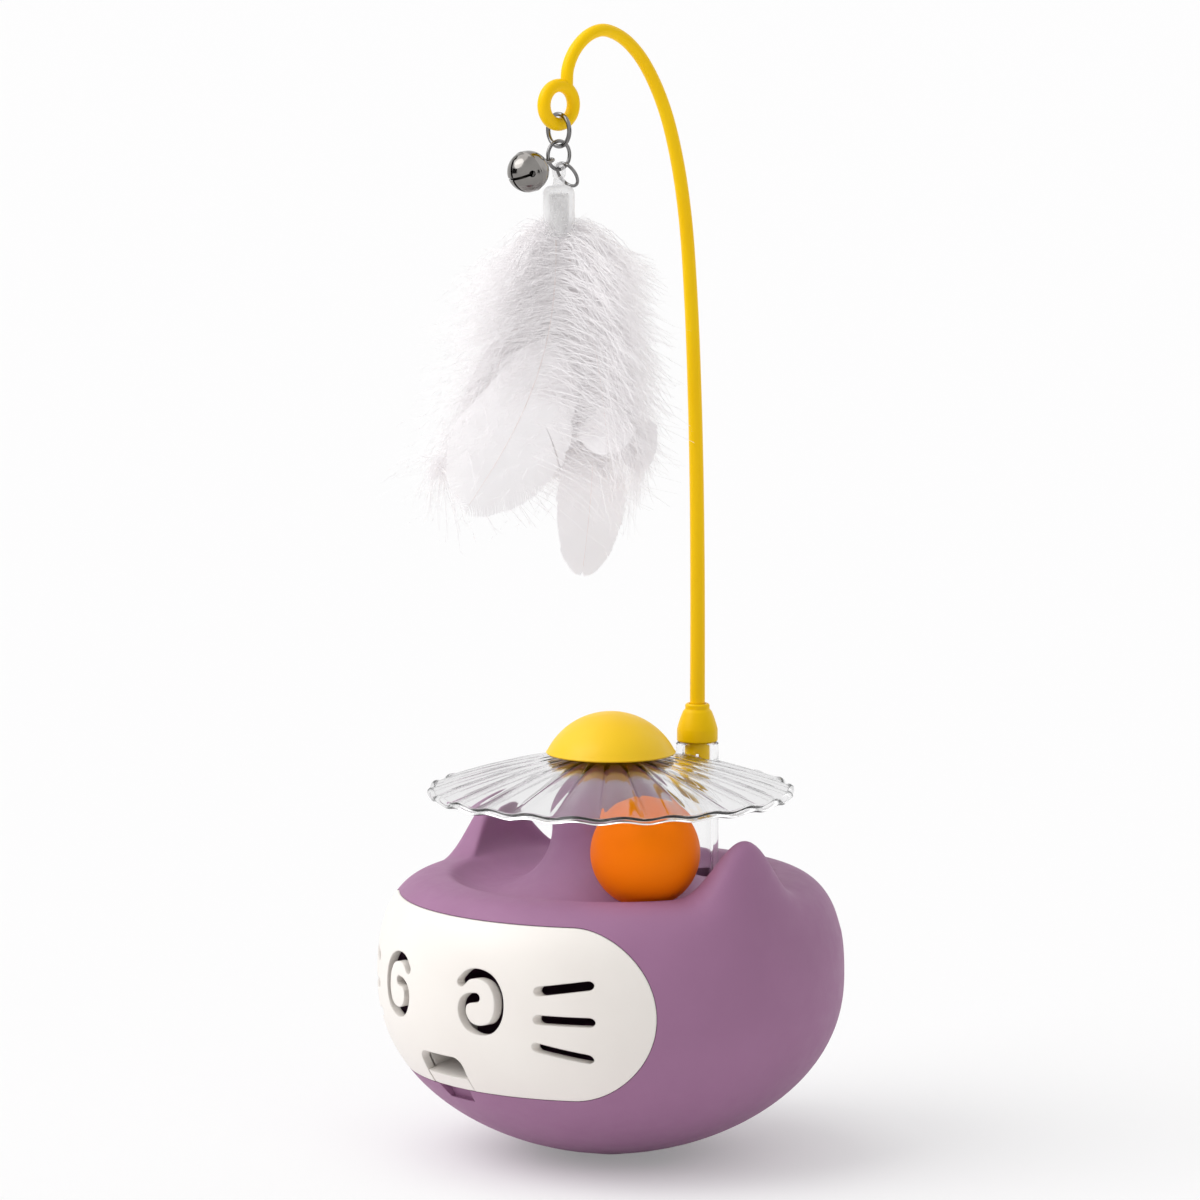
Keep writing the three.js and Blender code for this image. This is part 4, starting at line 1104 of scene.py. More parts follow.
    def cut_notch(self, shell: bpy.types.Object) -> None:
        """Takes the finger notch out of the bowl under the mouth.

        Args:
            shell: The shell with its mask seat.
        """
        front = -self.body.belly_radius - self.body.wall
        top = self.mask.middle_height - self.mask.half_height + self.mask.gap
        outline = [(-self.notch_bottom_half_width, self.notch_bottom),
                   (self.notch_bottom_half_width, self.notch_bottom),
                   (self.notch_top_half_width, top), (-self.notch_top_half_width, top)]
        tool = Draft()
        deep = [-self.body.radius(height) + (self.notch_foot_depth if height < top else self.notch_top_depth)
                for _, height in outline]
        tool.rings([[Vector((x, front, z)) for x, z in outline],
                    [Vector((x, y, z)) for (x, z), y in zip(outline, deep)]])
        shape(shell, tool, Cut.TAKE_AWAY)

    def cut_chute_slot(self, shell: bpy.types.Object) -> None:
        """Opens the slot that the chute's floor lies in.

        Args:
            shell: The shell with its mask seat.
        """
        gap = self.mask.gap
        front = -self.body.radius(self.sill_top)
        end = front + self.mask.wall + self.chute_length + gap
        rise = (end - front) * self.sill_rise
        floor = self.sill_top - self.chute_floor - gap
        outline = [(front - gap, floor), (end, floor + rise),
                   (end, self.sill_top + rise + self.chute_side_height),
                   (front - gap, self.sill_top + self.chute_side_height)]
        shape(shell, prism_along_x(outline, self.chute_half_width + gap), Cut.TAKE_AWAY)

    def add_socket(self, shell: bpy.types.Object) -> None:
        """Adds the wand tube's socket under the channel and bores it.

        Args:
            shell: The shell with its channel.
        """
        floor = self.deck_height - self.socket_depth
        place = Matrix.Translation((0, self.socket_offset, 0))
        outer = self.socket_radius + self.socket_wall
        boss = lathe([(0, floor - self.socket_wall), (outer, floor - self.socket_wall),
                      (outer, self.deck_height - self.mask.gap), (0, self.deck_height - self.mask.gap)], 64)
        shape(shell, boss.moved(place), Cut.ADD)
        top = self.deck_height + self.track_radius - self.post_radius
        bore = lathe([(0, floor), (self.socket_radius, floor), (self.socket_radius, top), (0, top)], 64)
        shape(shell, bore.moved(place), Cut.TAKE_AWAY)


@dataclass
class TrackBall:
    """Orange ball in the channel, with the faint seam of its two halves."""

    seam_depth: float = 0.05
    seam_width: float = 0.35
    seam_tilt: float = 63

    def build(self) -> None:
        """Builds the ball in the place of its solid."""
        low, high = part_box("track_ball")
        radius = (high[2] - low[2]) / 2 / MM
        outline = []
        for turn in steps(0, math.pi, 90):
            height = -radius * math.cos(turn)
            groove = self.seam_depth * math.exp(-(height / self.seam_width) ** 2)
            outline.append(((radius - groove) * math.sin(turn), height))
        turn = Matrix.Rotation(math.radians(self.seam_tilt), 4, "X")
        tilt = Matrix.Translation(node_middle("track_ball")) @ turn
        ball = lathe(outline, 128).moved(tilt).piece("track_ball_moulding", [ORANGE_BALL.material()])
        place_piece(ball, "ball", "track_ball")


# Canopy and cap

@dataclass
class Canopy:
    """Clear disc of convex lobes with a thick wavy rim."""

    radius: float = 49
    hub_radius: float = 12
    wall: float = 1.0
    drop: float = 8.8
    curve_power: float = 1.5
    flutes: int = 24
    flute_depth: float = 0.75
    scallop: float = 0.5
    bead: float = 0.85
    groove: float = 0.26
    groove_width: float = 0.6
    bore: float = 7.1
    tube_offset: float = 31
    tube_hole: float = 6.15

    def build(self) -> None:
        """Builds the disc on its solid's hub height."""
        hub_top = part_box("canopy_disc")[1][2] / MM
        bead_start = self.radius - 2 * self.bead
        bead_radii = [self.radius - self.bead * (1 + math.cos(turn)) for turn in steps(0, math.pi, 14)]
        radii = [self.bore, *steps(self.hub_radius, bead_start, 36)[:-1], *bead_radii]
        rings = []
        for angle in steps(0, 2 * math.pi, self.flutes * 28)[:-1]:
            place = angle / (2 * math.pi) * self.flutes % 1
            from_cusp = (0.5 - abs(place - 0.5)) * 2 * math.pi / self.flutes
            hollow = 0.5 + 0.5 * math.cos(2 * math.pi * place)
            top, bottom = [], []
            for radius in radii:
                share = max(radius - self.hub_radius, 0) / (self.radius - self.hub_radius)
                sunk = self.flute_depth * hollow * ease(share * 1.6)
                fade = ease(share * 5) * (1 - ease((share - 0.78) / 0.2))
                groove = self.groove * math.exp(-(from_cusp * radius / self.groove_width) ** 2) * fade
                under = hub_top - self.wall - self.drop * share ** self.curve_power - sunk
                over = under + self.wall - groove
                across = (radius - bead_start) / self.bead - 1
                if across > -1:
                    round_half = self.bead * math.sqrt(max(1 - across * across, 0.0))
                    middle = (over + under) / 2
                    flat = (over - under) / 2 * (1 - ease(across + 1))
                    over = middle + max(round_half, flat)
                    under = middle - max(round_half, flat)
                out = radius - self.scallop * hollow * share
                spot = (out * math.cos(angle), out * math.sin(angle))
                top.append(Vector((*spot, over)))
                bottom.append(Vector((*spot, under)))
            rings.append(top + bottom[::-1])
        drawn = Draft()
        drawn.rings(rings, loop=True)
        disc = drawn.piece("canopy_moulding", [CLEAR_CANOPY.material()], crease=50)
        hole = lathe([(0, hub_top - 3 * self.drop), (self.tube_hole, hub_top - 3 * self.drop),
                      (self.tube_hole, hub_top + self.drop), (0, hub_top + self.drop)], 64)
        shape(disc, hole.moved(Matrix.Translation((0, self.tube_offset, 0))), Cut.TAKE_AWAY, crease=50)
        place_piece(disc, "canopy", "canopy_disc")


@dataclass
class DomeCap:
    """Yellow dome with the boss and plug that clamp the canopy."""

    rise: float = 11.1
    lift: float = 0.8
    gap: float = 0.3
    boss_radius: float = 9
    plug_radius: float = 6.4
    edge_round: float = 0.5

    def build(self) -> None:
        """Builds the cap from its solid's box."""
        low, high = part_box("dome_cap")
        radius = (high[0] - low[0]) / 2 / MM
        top = high[2] / MM
        bottom = low[2] / MM
        edge = top - self.rise
        boss_bottom = edge - self.lift + self.gap
        sphere = (radius ** 2 + self.rise ** 2) / (2 * self.rise)
        rim = math.asin(radius / sphere)
        dome = [(sphere * math.sin(turn), top - sphere * (1 - math.cos(turn))) for turn in steps(rim, 0, 48)]
        dome[-1] = (0, top)
        edge_curve = [(radius - self.edge_round * (1 - math.sin(turn)),
                       edge + self.edge_round * (1 - math.cos(turn)))
                      for turn in steps(0, math.pi / 2, 5)]
        outline = [(0, bottom), (self.plug_radius - 0.8, bottom), (self.plug_radius, bottom + 0.8),
                   (self.plug_radius, boss_bottom), (self.boss_radius, boss_bottom), (self.boss_radius, edge),
                   *edge_curve[:-1], *[spot for spot in dome if spot[1] > edge + self.edge_round]]
        cap = lathe(outline, 128).piece("dome_cap_moulding", [YELLOW_CAP.material()], crease=50)
        place_piece(cap, "cap", "dome_cap")


# Wand

@dataclass
class Wand:
    """Clear tube, ferrule with its split plug, and the arched rod with its eyelet."""

    offset: float = 31
    tube_radius: float = 5.75
    tube_bore: float = 3.75
    tube_top: float = 107
    tube_edge: float = 0.3
    slide_fit: float = 0.4
    gap: float = 0.3
    ferrule_radius: float = 5.5
    ferrule_height: float = 10.3
    skirt: float = 3.3
    cone_points: tuple[Point, ...] = ((0, 0), (0.4, 0.22), (1.0, 0.48), (1.6, 0.7))
    collar_radius: float = 3.3
    plug_length: float = 14
    split: float = 0.8
    split_length: float = 11
    split_turn: float = 48.8
    base_radius: float = 2.05
    tip_radius: float = 1.65
    seat: float = 2
    eyelet_radius: float = 5.05
    eyelet_wire: float = 1.75
    join_angle: float = 57
    path: tuple[Point, ...] = (
        (0, 6), (0, 38), (0.4, 68), (1.2, 93), (2.6, 119), (4.7, 141), (7.8, 157), (11.9, 169.7),
        (16.9, 179.2), (22.0, 185.6), (27.8, 189.9), (33.9, 191.7), (39.2, 190.3), (43.6, 186.6),
        (46.0, 182.0), (46.4, 176.9))

    @property
    def ferrule_bottom(self) -> float:
        """Height of the ferrule's lower face."""
        return self.tube_top + self.gap

    @property
    def eyelet_middle(self) -> Vector:
        """Middle of the eyelet.

        Returns:
            The point, in millimetres.
        """
        forward, up = self.path[-1]
        join = math.radians(self.join_angle)
        return Vector((0, self.offset - forward - self.eyelet_radius * math.cos(join),
                       self.ferrule_bottom + up - self.eyelet_radius * math.sin(join)))

    def build(self) -> None:
        """Builds the three pieces."""
        self.build_tube()
        self.build_ferrule()
        self.build_rod()

    def build_tube(self) -> None:
        """Builds the clear tube with softly rounded ends."""
        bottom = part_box("wand_tube")[0][2] / MM
        edge = self.tube_edge
        outline = [(self.tube_bore, bottom + edge), (self.tube_bore + edge, bottom),
                   (self.tube_radius - edge, bottom), (self.tube_radius, bottom + edge),
                   (self.tube_radius, self.tube_top - edge),
                   (self.tube_radius - edge, self.tube_top), (self.tube_bore + edge, self.tube_top),
                   (self.tube_bore, self.tube_top - edge)]
        drawn = lathe(outline, 96, closed=True).moved(Matrix.Translation((0, self.offset, 0)))
        tube = drawn.piece("wand_tube_moulding", [CLEAR_TUBE.material()])
        place_piece(tube, "tube", "wand_tube")

    def build_ferrule(self) -> None:
        """Builds the ferrule, its collar and the split plug."""
        plug = self.tube_bore - self.slide_fit
        seat = self.base_radius + self.gap
        cone = self.ferrule_height - self.skirt
        shoulder = [Vector((self.ferrule_radius - inward, self.skirt + cone * rise))
                    for inward, rise in self.cone_points]
        curve = [(spot.x, spot.y) for spot in smooth_line(shoulder, 6)]
        outline = [(0, -self.plug_length), (plug - 0.6, -self.plug_length),
                   (plug, 0.6 - self.plug_length), (plug, 0),
                   (self.ferrule_radius - 0.3, 0), (self.ferrule_radius, 0.3), *curve,
                   (self.collar_radius + 0.2, self.skirt + cone * 0.76),
                   (self.collar_radius, self.skirt + cone * 0.8),
                   (self.collar_radius, self.ferrule_height - 0.4),
                   (self.collar_radius - 0.4, self.ferrule_height),
                   (seat, self.ferrule_height), (seat, self.seat - self.gap), (0, self.seat - self.gap)]
        ferrule = lathe(outline, 96).piece("wand_ferrule_moulding", [YELLOW_WAND.material()], crease=35)
        split = bar(self.ferrule_radius, self.split / 2, -self.plug_length - 1,
                    self.split_length - self.plug_length)
        split.moved(Matrix.Rotation(math.radians(self.split_turn - 90), 4, "Z"))
        shape(ferrule, split, Cut.TAKE_AWAY, crease=35)
        ferrule.data.transform(Matrix.Translation(Vector((0, self.offset, self.ferrule_bottom)) * MM))
        place_piece(ferrule, "wand", "wand_ferrule")

    def build_rod(self) -> None:
        """Builds the arched rod and the eyelet that it runs into."""
        points = [Vector((0, self.offset - forward, self.ferrule_bottom + up))
                  for forward, up in ((0, self.seat), *self.path)]
        line = even_line(smooth_line(points, 12), 260)
        drawn = wire(line, lambda t: self.base_radius + (self.tip_radius - self.base_radius) * t, 28)
        stand = Matrix.Translation(self.eyelet_middle) @ Matrix.Rotation(math.pi / 2, 4, "Z")
        hoop(self.eyelet_radius, self.eyelet_wire, drawn, stand, 96, 28)
        rod = drawn.piece("wand_rod_moulding", [YELLOW_WAND.material()])
        place_piece(rod, "wand", "wand_rod")


# Links and bell

@dataclass
class Links:
    """Three wire rings and the jingle bell that hang on the eyelet."""

    wand: Wand
    upper_radius: float = 4.2
    upper_wire: float = 0.6
    lower_radius: float = 3.7
    lower_wire: float = 0.5
    side_radius: float = 3.5
    side_wire: float = 0.45
    side_angle: float = -60
    bell_radius: float = 5.55
    bell_wall: float = 0.5
    bell_angle: float = -160
    bell_loop: float = 1.55
    bell_loop_wire: float = 0.4
    bell_slot: float = 0.7
    bell_slot_angle: float = 62
    bell_slot_end: float = 0.9
    bell_slot_turns: tuple[float, float] = (83, 173)
    bell_seam: float = 0.14
    gap: float = 0.3

    @property
    def upper_middle(self) -> Vector:
        """Middle of the upper ring.

        Returns:
            The point, in millimetres.
        """
        eyelet = self.wand.eyelet_middle
        hole_bottom = eyelet.z - self.wand.eyelet_radius + self.wand.eyelet_wire
        return Vector((0, eyelet.y, hole_bottom + self.gap + self.upper_wire - self.upper_radius))

    @property
    def lower_middle(self) -> Vector:
        """Middle of the lower ring.

        Returns:
            The point, in millimetres.
        """
        upper = self.upper_middle
        bottom = upper.z - self.upper_radius
        return Vector((0, upper.y, bottom + self.upper_wire + self.gap + self.lower_wire - self.lower_radius))

    def hanger(self, angle: float) -> Matrix:
        """A place on the lower ring whose -Z axis runs away from that ring's middle.

        Args:
            angle: Where on the ring, in degrees from +Y.

        Returns:
            The matrix of that place.
        """
        turn = math.radians(angle)
        spot = self.lower_middle + Vector((0, math.cos(turn), math.sin(turn))) * self.lower_radius
        return Matrix.Translation(spot) @ Matrix.Rotation(turn + math.pi / 2, 4, "X")

    def build(self) -> None:
        """Builds the rings and the bell."""
        steel = RING_STEEL.material()
        upper = hoop(self.upper_radius, self.upper_wire, None, Matrix.Translation(self.upper_middle))
        place_piece(upper.piece("upper_ring_wire", [steel]), "link_a", "upper_link_ring")
        stand = Matrix.Translation(self.lower_middle) @ Matrix.Rotation(math.pi / 2, 4, "Z")
        lower = hoop(self.lower_radius, self.lower_wire, None, stand)
        place_piece(lower.piece("lower_ring_wire", [steel]), "link_b", "lower_link_ring")
        away = -(self.side_radius - self.side_wire - self.gap - self.lower_wire)
        side = hoop(self.side_radius, self.side_wire, None,
                    self.hanger(self.side_angle) @ Matrix.Translation((0, 0, away)))
        place_piece(side.piece("side_ring_wire", [steel]), "side_link", "side_link_ring")
        self.build_bell()

    def build_bell(self) -> None:
        """Builds the bell's shell with its crossed slots, seam and loop, and its pellet."""
        loop_middle = -(self.bell_loop - self.bell_loop_wire - self.gap - self.lower_wire)
        middle = loop_middle - self.bell_loop - self.bell_radius
        inside = self.bell_radius - self.bell_wall
        outline = []
        for turn in steps(0.001, math.pi - 0.001, 96):
            height = -self.bell_radius * math.cos(turn)
            rolled = self.bell_seam * math.exp(-(height / 0.28) ** 2)
            outline.append(((self.bell_radius - self.bell_seam + rolled) * math.sin(turn), height))
        bell = lathe(outline, 128).piece("jingle_bell", [BELL_METAL.material()])
        shape(bell, ball_shape(inside, 96), Cut.TAKE_AWAY)
        slot_half = self.bell_radius * math.sin(math.radians(self.bell_slot_angle))
        slot_top = self.bell_radius * math.cos(math.radians(self.bell_slot_angle))
        for turn in self.bell_slot_turns:
            spin = Matrix.Rotation(math.radians(turn), 4, "Z")
            slot = bar(slot_half, self.bell_slot / 2, -slot_top - 2 * self.bell_radius, -slot_top)
            shape(bell, slot.moved(spin), Cut.TAKE_AWAY)
            for side in (-1, 1):
                place = spin @ Matrix.Translation((side * slot_half, 0, -slot_top))
                shape(bell, ball_shape(self.bell_slot_end, 32).moved(place), Cut.TAKE_AWAY)
        loop = hoop(self.bell_loop, self.bell_loop_wire, None,
                    Matrix.Translation((0, 0, loop_middle - middle)), 48, 16)
        shape(bell, loop, Cut.ADD)
        bell.data.transform(metres(self.hanger(self.bell_angle) @ Matrix.Translation((0, 0, middle))))
        place_piece(bell, "bell", "bell_shell")
        low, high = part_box("bell_pellet")
        place = Matrix.Translation(node_middle("bell_pellet"))
        drawn = ball_shape((high[2] - low[2]) / 2 / MM, 40).moved(place)
        pellet = drawn.piece("bell_pellet_ball", [RING_STEEL.material()])
        place_piece(pellet, "pellet", "bell_pellet")


def metres(change: Matrix) -> Matrix:
    """The same rigid move with its shift in metres in place of millimetres.

    Args:
        change: The move, in millimetres.

    Returns:
        The move, in metres.
    """
    moved = change.copy()
    moved.translation = change.translation * MM
    return moved


# Feathers

@dataclass(frozen=True)
class Plumage:
    """Outline of the whole bunch: how far it reaches left and right at each distance down."""

    rows: tuple[tuple[float, float, float], ...] = (
        (-3, -7, 7), (0, -12.3, 12.5), (6.3, -21.4, 23), (14, -27, 24.3), (22, -29.5, 25.6),
        (30, -30.5, 26.9), (37.6, -31.5, 28), (45.4, -33, 27.4), (53, -35.5, 26.9), (61, -39, 25.6),
        (69, -38.5, 20.4),
        (75.5, -28, 18), (82, -5, 16.4), (91, -2.6, 12))
    depth: float = 15

    def edge(self, down: float, side: int) -> float:
        """How far the bunch reaches to one side.

        Args:
            down: Distance below the quills' roots.
            side: -1 for the left, 1 for the right.

        Returns:
            The reach, as a positive number.
        """
        rows = self.rows
        for upper, lower in zip(rows, rows[1:]):
            if down <= lower[0]:
                share = min(max((down - upper[0]) / (lower[0] - upper[0]), 0), 1)
                column = 1 if side < 0 else 2
                return abs(upper[column] + (lower[column] - upper[column]) * share)
        return 0.0


@dataclass
class Feather:
    """One feather in the fan's own frame: X across, Y away from the viewer, Z up."""

    name: str
    root: Point
    tip: tuple[float, float, float]
    bow: float
    width: float
    plumage: Plumage
    vane_start: float = 0.5
    down_end: float = 0.7
    widest: float = 0.76
    barbs: int = 300
    sweep: float = 0.85
    tufts: int = 1000
    hairs: int = 14
    quill_radius: float = 0.22
    quill_end: float = 0.97
    split_chance: float = 0.05
    split_lean: float = 0.004
    ragged_least: float = 0.93
    vane_crown: float = 0.075
    droop: tuple[float, float] = (6, 27)
    wisp_share: float = 0.15
    wisp_reach: tuple[float, float] = (0.95, 1.2)
    down_width: float = 0.12
    hair_width: float = 0.055
    hair_reach: tuple[float, float] = (1.2, 3.8)
    seed: int = 1

    def shaft(self, t: float) -> Vector:
        """The shaft's centre line.

        Args:
            t: Share of its length.

        Returns:
            The point at that share.
        """
        lean = t * t * 0.55 + t * 0.45
        return Vector((self.root[0] + (self.tip[0] - self.root[0]) * lean + self.bow * math.sin(math.pi * t),
                       -(self.root[1] + (self.tip[1] - self.root[1]) * t), -self.tip[2] * t))

    def half_width(self, t: float) -> float:
        """Half the vane's width.

        Args:
            t: Share of the feather's length at which its outline is passed.

        Returns:
            The half width there.
        """
        if t > self.widest:
            past = (t - self.widest) / (1 - self.widest)
            return self.width / 2 * math.sqrt(max(1 - past * past, 0))
        return self.width / 2 * (0.72 + 0.28 * ease((t - self.vane_start) / (self.widest - self.vane_start)))

    def heading(self, t: float) -> Vector:
        """Direction of the shaft towards its tip."""
        return (self.shaft(t + 0.01) - self.shaft(t - 0.01)).normalized()

    def draw(self) -> Draft:
        """Draws the shaft, the vane's barbs and the down.

        Returns:
            The feather's draft.
        """
        dice = random.Random(self.seed)
        drawn = Draft()
        line = [self.shaft(t) for t in steps(0, self.quill_end, 44)]
        wire(line, lambda t: self.quill_radius * (1 - 0.75 * t), 8, drawn, finish=1)
        for side in (-1, 1):
            self.draw_vane(drawn, side, dice)
        self.draw_down(drawn, dice)
        return drawn

    def draw_vane(self, drawn: Draft, side: int, dice: random.Random) -> None:
        """Draws one side's closed vane near the tip.

        Args:
            drawn: The feather's draft.
            side: -1 for the left side, 1 for the right.
            dice: Source of the small differences.
        """
        length = self.tip[2]
        tuft = 0.0
        ragged = 1.0
        for i in range(self.barbs):
            end = self.vane_start + (1 - self.vane_start) * (i / (self.barbs - 1)) ** 0.92
            if dice.random() < self.split_chance:
                tuft = dice.uniform(-self.split_lean, self.split_lean)
                ragged = dice.uniform(self.ragged_least, 1.0)
            full = self.half_width(min(end, 0.9995))
            reach = full * ragged * dice.uniform(0.95, 1.0)
            swept = full * (self.sweep + tuft)
            t = min(max(end - swept / length, 0.3), 0.985)
            ahead = self.heading(t)
            out = Vector((-ahead.z, 0, ahead.x)).normalized() * -side
            root = self.shaft(t)
            gain = max(end - t, 0.004) * length
            middle, sides = [], []
            for u in steps(0, 1, 7):
                crown = self.vane_crown * self.width / 20 * reach * u * u
                sink = Vector((0, crown + dice.uniform(-0.02, 0.02), 0))
                spread = out * (reach * (u + 0.22 * u * (1 - u)))
                middle.append(root + spread + ahead * (gain * u ** 1.25) + sink)
                sides.append(ahead * (length / self.barbs * (1.3 - 0.5 * u)))
            drawn.ribbon(middle, sides)

    def draw_down(self, drawn: Draft, dice: random.Random) -> None:
        """Draws the loose down that fills the bunch out to its outline.

        Args:
            drawn: The feather's draft.
            dice: Source of the small differences.
        """
        for _ in range(self.tufts):
            t = 0.01 + (self.down_end - 0.01) * dice.random() ** 1.35
            side = dice.choice((-1, 1))
            root = self.shaft(t)
            drop = dice.uniform(*self.droop) * (0.45 + 0.4 * t)
            down = -root.z + drop * 0.75
            edge = self.plumage.edge(down, side) * side
            spin = dice.uniform(-1, 1)
            wisp = dice.random() >= 1 - self.wisp_share
            length = dice.uniform(*self.wisp_reach) if wisp else dice.uniform(0.3, 1.0)
            across = (edge * math.sqrt(max(1 - spin * spin * 0.72, 0.05)) - root.x) * length
            through = (self.plumage.depth * spin * ease(down / 12 + 0.2) - root.y) * length
            rise = 6.5 * ease(1 - t * 5) * dice.random()
            sway = dice.uniform(0.2, 1.1)
            curl = dice.uniform(0.6, 2.2)
            phase = dice.uniform(0, 6.28)
            middle, sides = [], []
            for u in steps(0, 1, 8):
                wave = sway * u * math.sin(phase + curl * u * 5)
                spot = root + Vector((across * (u - 0.1 * u * u) / 0.9, through * u,
                                      rise * math.sin(math.pi * min(u * 1.3, 1)) - drop * u ** 1.7 + wave))
                spot.x += sway * 0.5 * u * math.cos(phase + curl * u * 3)
                middle.append(spot)
                sides.append(Vector((0.8, 0.2, 0.8)) * (self.down_width * (1 - 0.75 * u)))
            drawn.ribbon(middle, sides)
            self.draw_hairs(drawn, middle, dice)

    def draw_hairs(self, drawn: Draft, barb: Sequence[Vector], dice: random.Random) -> None:
        """Draws the fine hairs that make one barb of the down fluffy.

        Args:
            drawn: The feather's draft.
            barb: The barb's centre line.
            dice: Source of the small differences.
        """
        for _ in range(self.hairs):
            place = dice.uniform(1.2, len(barb) - 1.001)
            span = int(place)
            ahead = barb[span + 1] - barb[span]
            if ahead.length < 1e-6:
                continue
            ahead.normalize()
            root = barb[span].lerp(barb[span + 1], place - span)
            lean = Vector((dice.uniform(-1, 1), dice.uniform(-0.6, 0.6), dice.uniform(-1, 1)))
            reach = dice.uniform(*self.hair_reach)
            tip = root + (ahead * dice.uniform(0.4, 1.0) + lean * 0.75) * reach
            width = ahead.cross(lean)
            if width.length < 1e-6:
                continue
            width = width.normalized() * self.hair_width
            start = len(drawn.points)
            drawn.points.extend((root - width, root + width, tip))
            drawn.face((start, start + 1, start + 2))


@dataclass
class FeatherBunch:
    """Clear holder with its loop, the quill plug and the fan of feathers."""

    links: Links
    fan_turn: float = 48.8
    radius: float = 4.2
    length: float = 13.2
    bore: float = 2.75
    shoulder: float = 1.6
    shoulder_round: float = 2.3
    loop_radius: float = 1.95
    loop_wire: float = 0.55
    neck_radius: float = 1.5
    roof: float = 2
    plug_length: float = 10.4
    slide_fit: float = 0.4
    gap: float = 0.3
    plumage: Plumage = Plumage()

    def feathers(self) -> tuple[Feather, ...]:
        """The six feathers, from the nearest to the farthest.

        Returns:
            The feathers in the order in which they are drawn.
        """
        coat = self.plumage
        return (
            Feather("feather_front", root=(-0.8, 1.6), tip=(-25, 10, 72), bow=4, width=30, plumage=coat,
                    vane_start=0.5, down_end=0.58, seed=11),
            Feather("feather_front_right", root=(0.8, 0.9), tip=(13, 6, 57), bow=4, width=20, plumage=coat,
                    vane_start=0.9, down_end=0.92, tufts=1300, seed=12),
            Feather("feather_left", root=(-0.8, 0.35), tip=(-34, 2, 64), bow=-2, width=7, plumage=coat,
                    vane_start=0.94, down_end=0.96, seed=13),
            Feather("feather_right", root=(0.8, -0.35), tip=(22, -2, 62), bow=5, width=14, plumage=coat,
                    vane_start=0.84, down_end=0.97, tufts=1200, seed=14),
            Feather("feather_back", root=(-0.8, -0.9), tip=(-8, -6, 67), bow=-5, width=34, plumage=coat,
                    vane_start=0.5, down_end=0.8, seed=15),
            Feather("feather_long", root=(0.8, -1.6), tip=(6, -10, 91), bow=6, width=19, plumage=coat,
                    vane_start=0.6, down_end=0.66, seed=16))

    def build(self) -> None:
        """Builds the holder, the plug and the feathers."""
        lower = self.links.lower_middle
        loop_top = lower.z - self.links.lower_radius + self.links.lower_wire + self.gap
        loop_middle = loop_top - (self.loop_radius - self.loop_wire)
        top = loop_middle - self.loop_radius - self.shoulder
        self.build_holder(lower.y, loop_middle, top)
        plug_top = top - self.roof - self.gap
        plug_radius = self.bore - self.slide_fit
        plug_bottom = plug_top - self.plug_length
        outline = [(0, plug_bottom), (plug_radius - 0.3, plug_bottom), (plug_radius, plug_bottom + 0.3),
                   (plug_radius, plug_top - 0.5), (plug_radius - 0.5, plug_top), (0, plug_top)]
        drawn = lathe(outline, 64).moved(Matrix.Translation((0, lower.y, 0)))
        plug = drawn.piece("quill_plug_moulding", [WHITE_PLUG.material()])
        place_piece(plug, "feathers", "quill_plug")
        materials = [WHITE_FEATHER.material(), QUILL.material()]
        fan = (Matrix.Translation((0, lower.y, plug_bottom - self.gap))
               @ Matrix.Rotation(math.radians(self.fan_turn), 4, "Z"))
        for feather in self.feathers():
            drawn = feather.draw().moved(fan)
            plume = drawn.piece(feather.name + "_plume", materials, crease=180, weld=False)
            place_piece(plume, "feathers", feather.name)

    def build_holder(self, back: float, loop_middle: float, top: float) -> None:
        """Builds the clear sleeve with its rounded shoulders and loop.

        Args:
            back: The holder's place along Y.
            loop_middle: Height of the loop's middle.
            top: Height of the sleeve's top.
        """
        bottom = top - self.length
        roof = top - self.roof
        round_off = self.shoulder_round
        shoulder = [(self.radius - round_off * (1 - math.cos(turn)), top - round_off * (1 - math.sin(turn)))
                    for turn in steps(0, math.pi / 2, 10)]
        outline = [(self.bore, bottom), (self.radius - 0.4, bottom), (self.radius, bottom + 0.4), *shoulder,
                   (self.neck_radius + 0.3, top + 0.1), (self.neck_radius, top + 0.4),
                   (self.neck_radius, loop_middle - self.loop_radius), (0, loop_middle - self.loop_radius),
                   (0, roof), (self.bore - 0.5, roof), (self.bore, roof - 0.5)]
        drawn = lathe(outline, 96, closed=True)
        holder = drawn.piece("feather_holder_moulding", [CLEAR_HOLDER.material()])
        loop = hoop(self.loop_radius, self.loop_wire, None, Matrix.Translation((0, 0, loop_middle)), 64, 16)
        shape(holder, loop, Cut.ADD)
        holder.data.transform(Matrix.Translation(Vector((0, back, 0)) * MM))
        place_piece(holder, "feathers", "feather_holder")


# Pieces kept from the frame

@dataclass
class InnerPieces:
    """The pieces whose solids are shown as they are, with their own finishes."""

    finishes: dict[str, MouldedPlastic | BareMetal] = field(default_factory=lambda: {
        "base_cap": PURPLE_SHELL, "mouth_chute": WHITE_MASK, "counterweight": WEIGHT_STEEL,
        "base_screw_left": SCREW_STEEL, "base_screw_right": SCREW_STEEL})

    def build(self) -> None:
        """Gives each solid its finish."""
        for node, finish in self.finishes.items():
            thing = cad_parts[node]
            material = finish.material()
            for spot in thing.material_slots:
                spot.link = "OBJECT"
                spot.material = material
            LOG.info("finished %s", node)


def place_piece(piece: bpy.types.Object, body: str, node: str) -> None:
    """Joins a piece to the frame.

    Args:
        piece: The finished piece.
        body: The body that carries it.
        node: The solid that it stands for.
    """
    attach(piece, body)
    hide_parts(node)
    LOG.info("built %s on %s, %d faces", piece.name, body, len(piece.data.polygons))


# Studio

@dataclass(frozen=True)
class Lamp:
    """A soft far lamp: the direction in which it stands, its width in degrees and its strength."""

    name: str
    toward: tuple[float, float, float]
    softness: float
    power: float


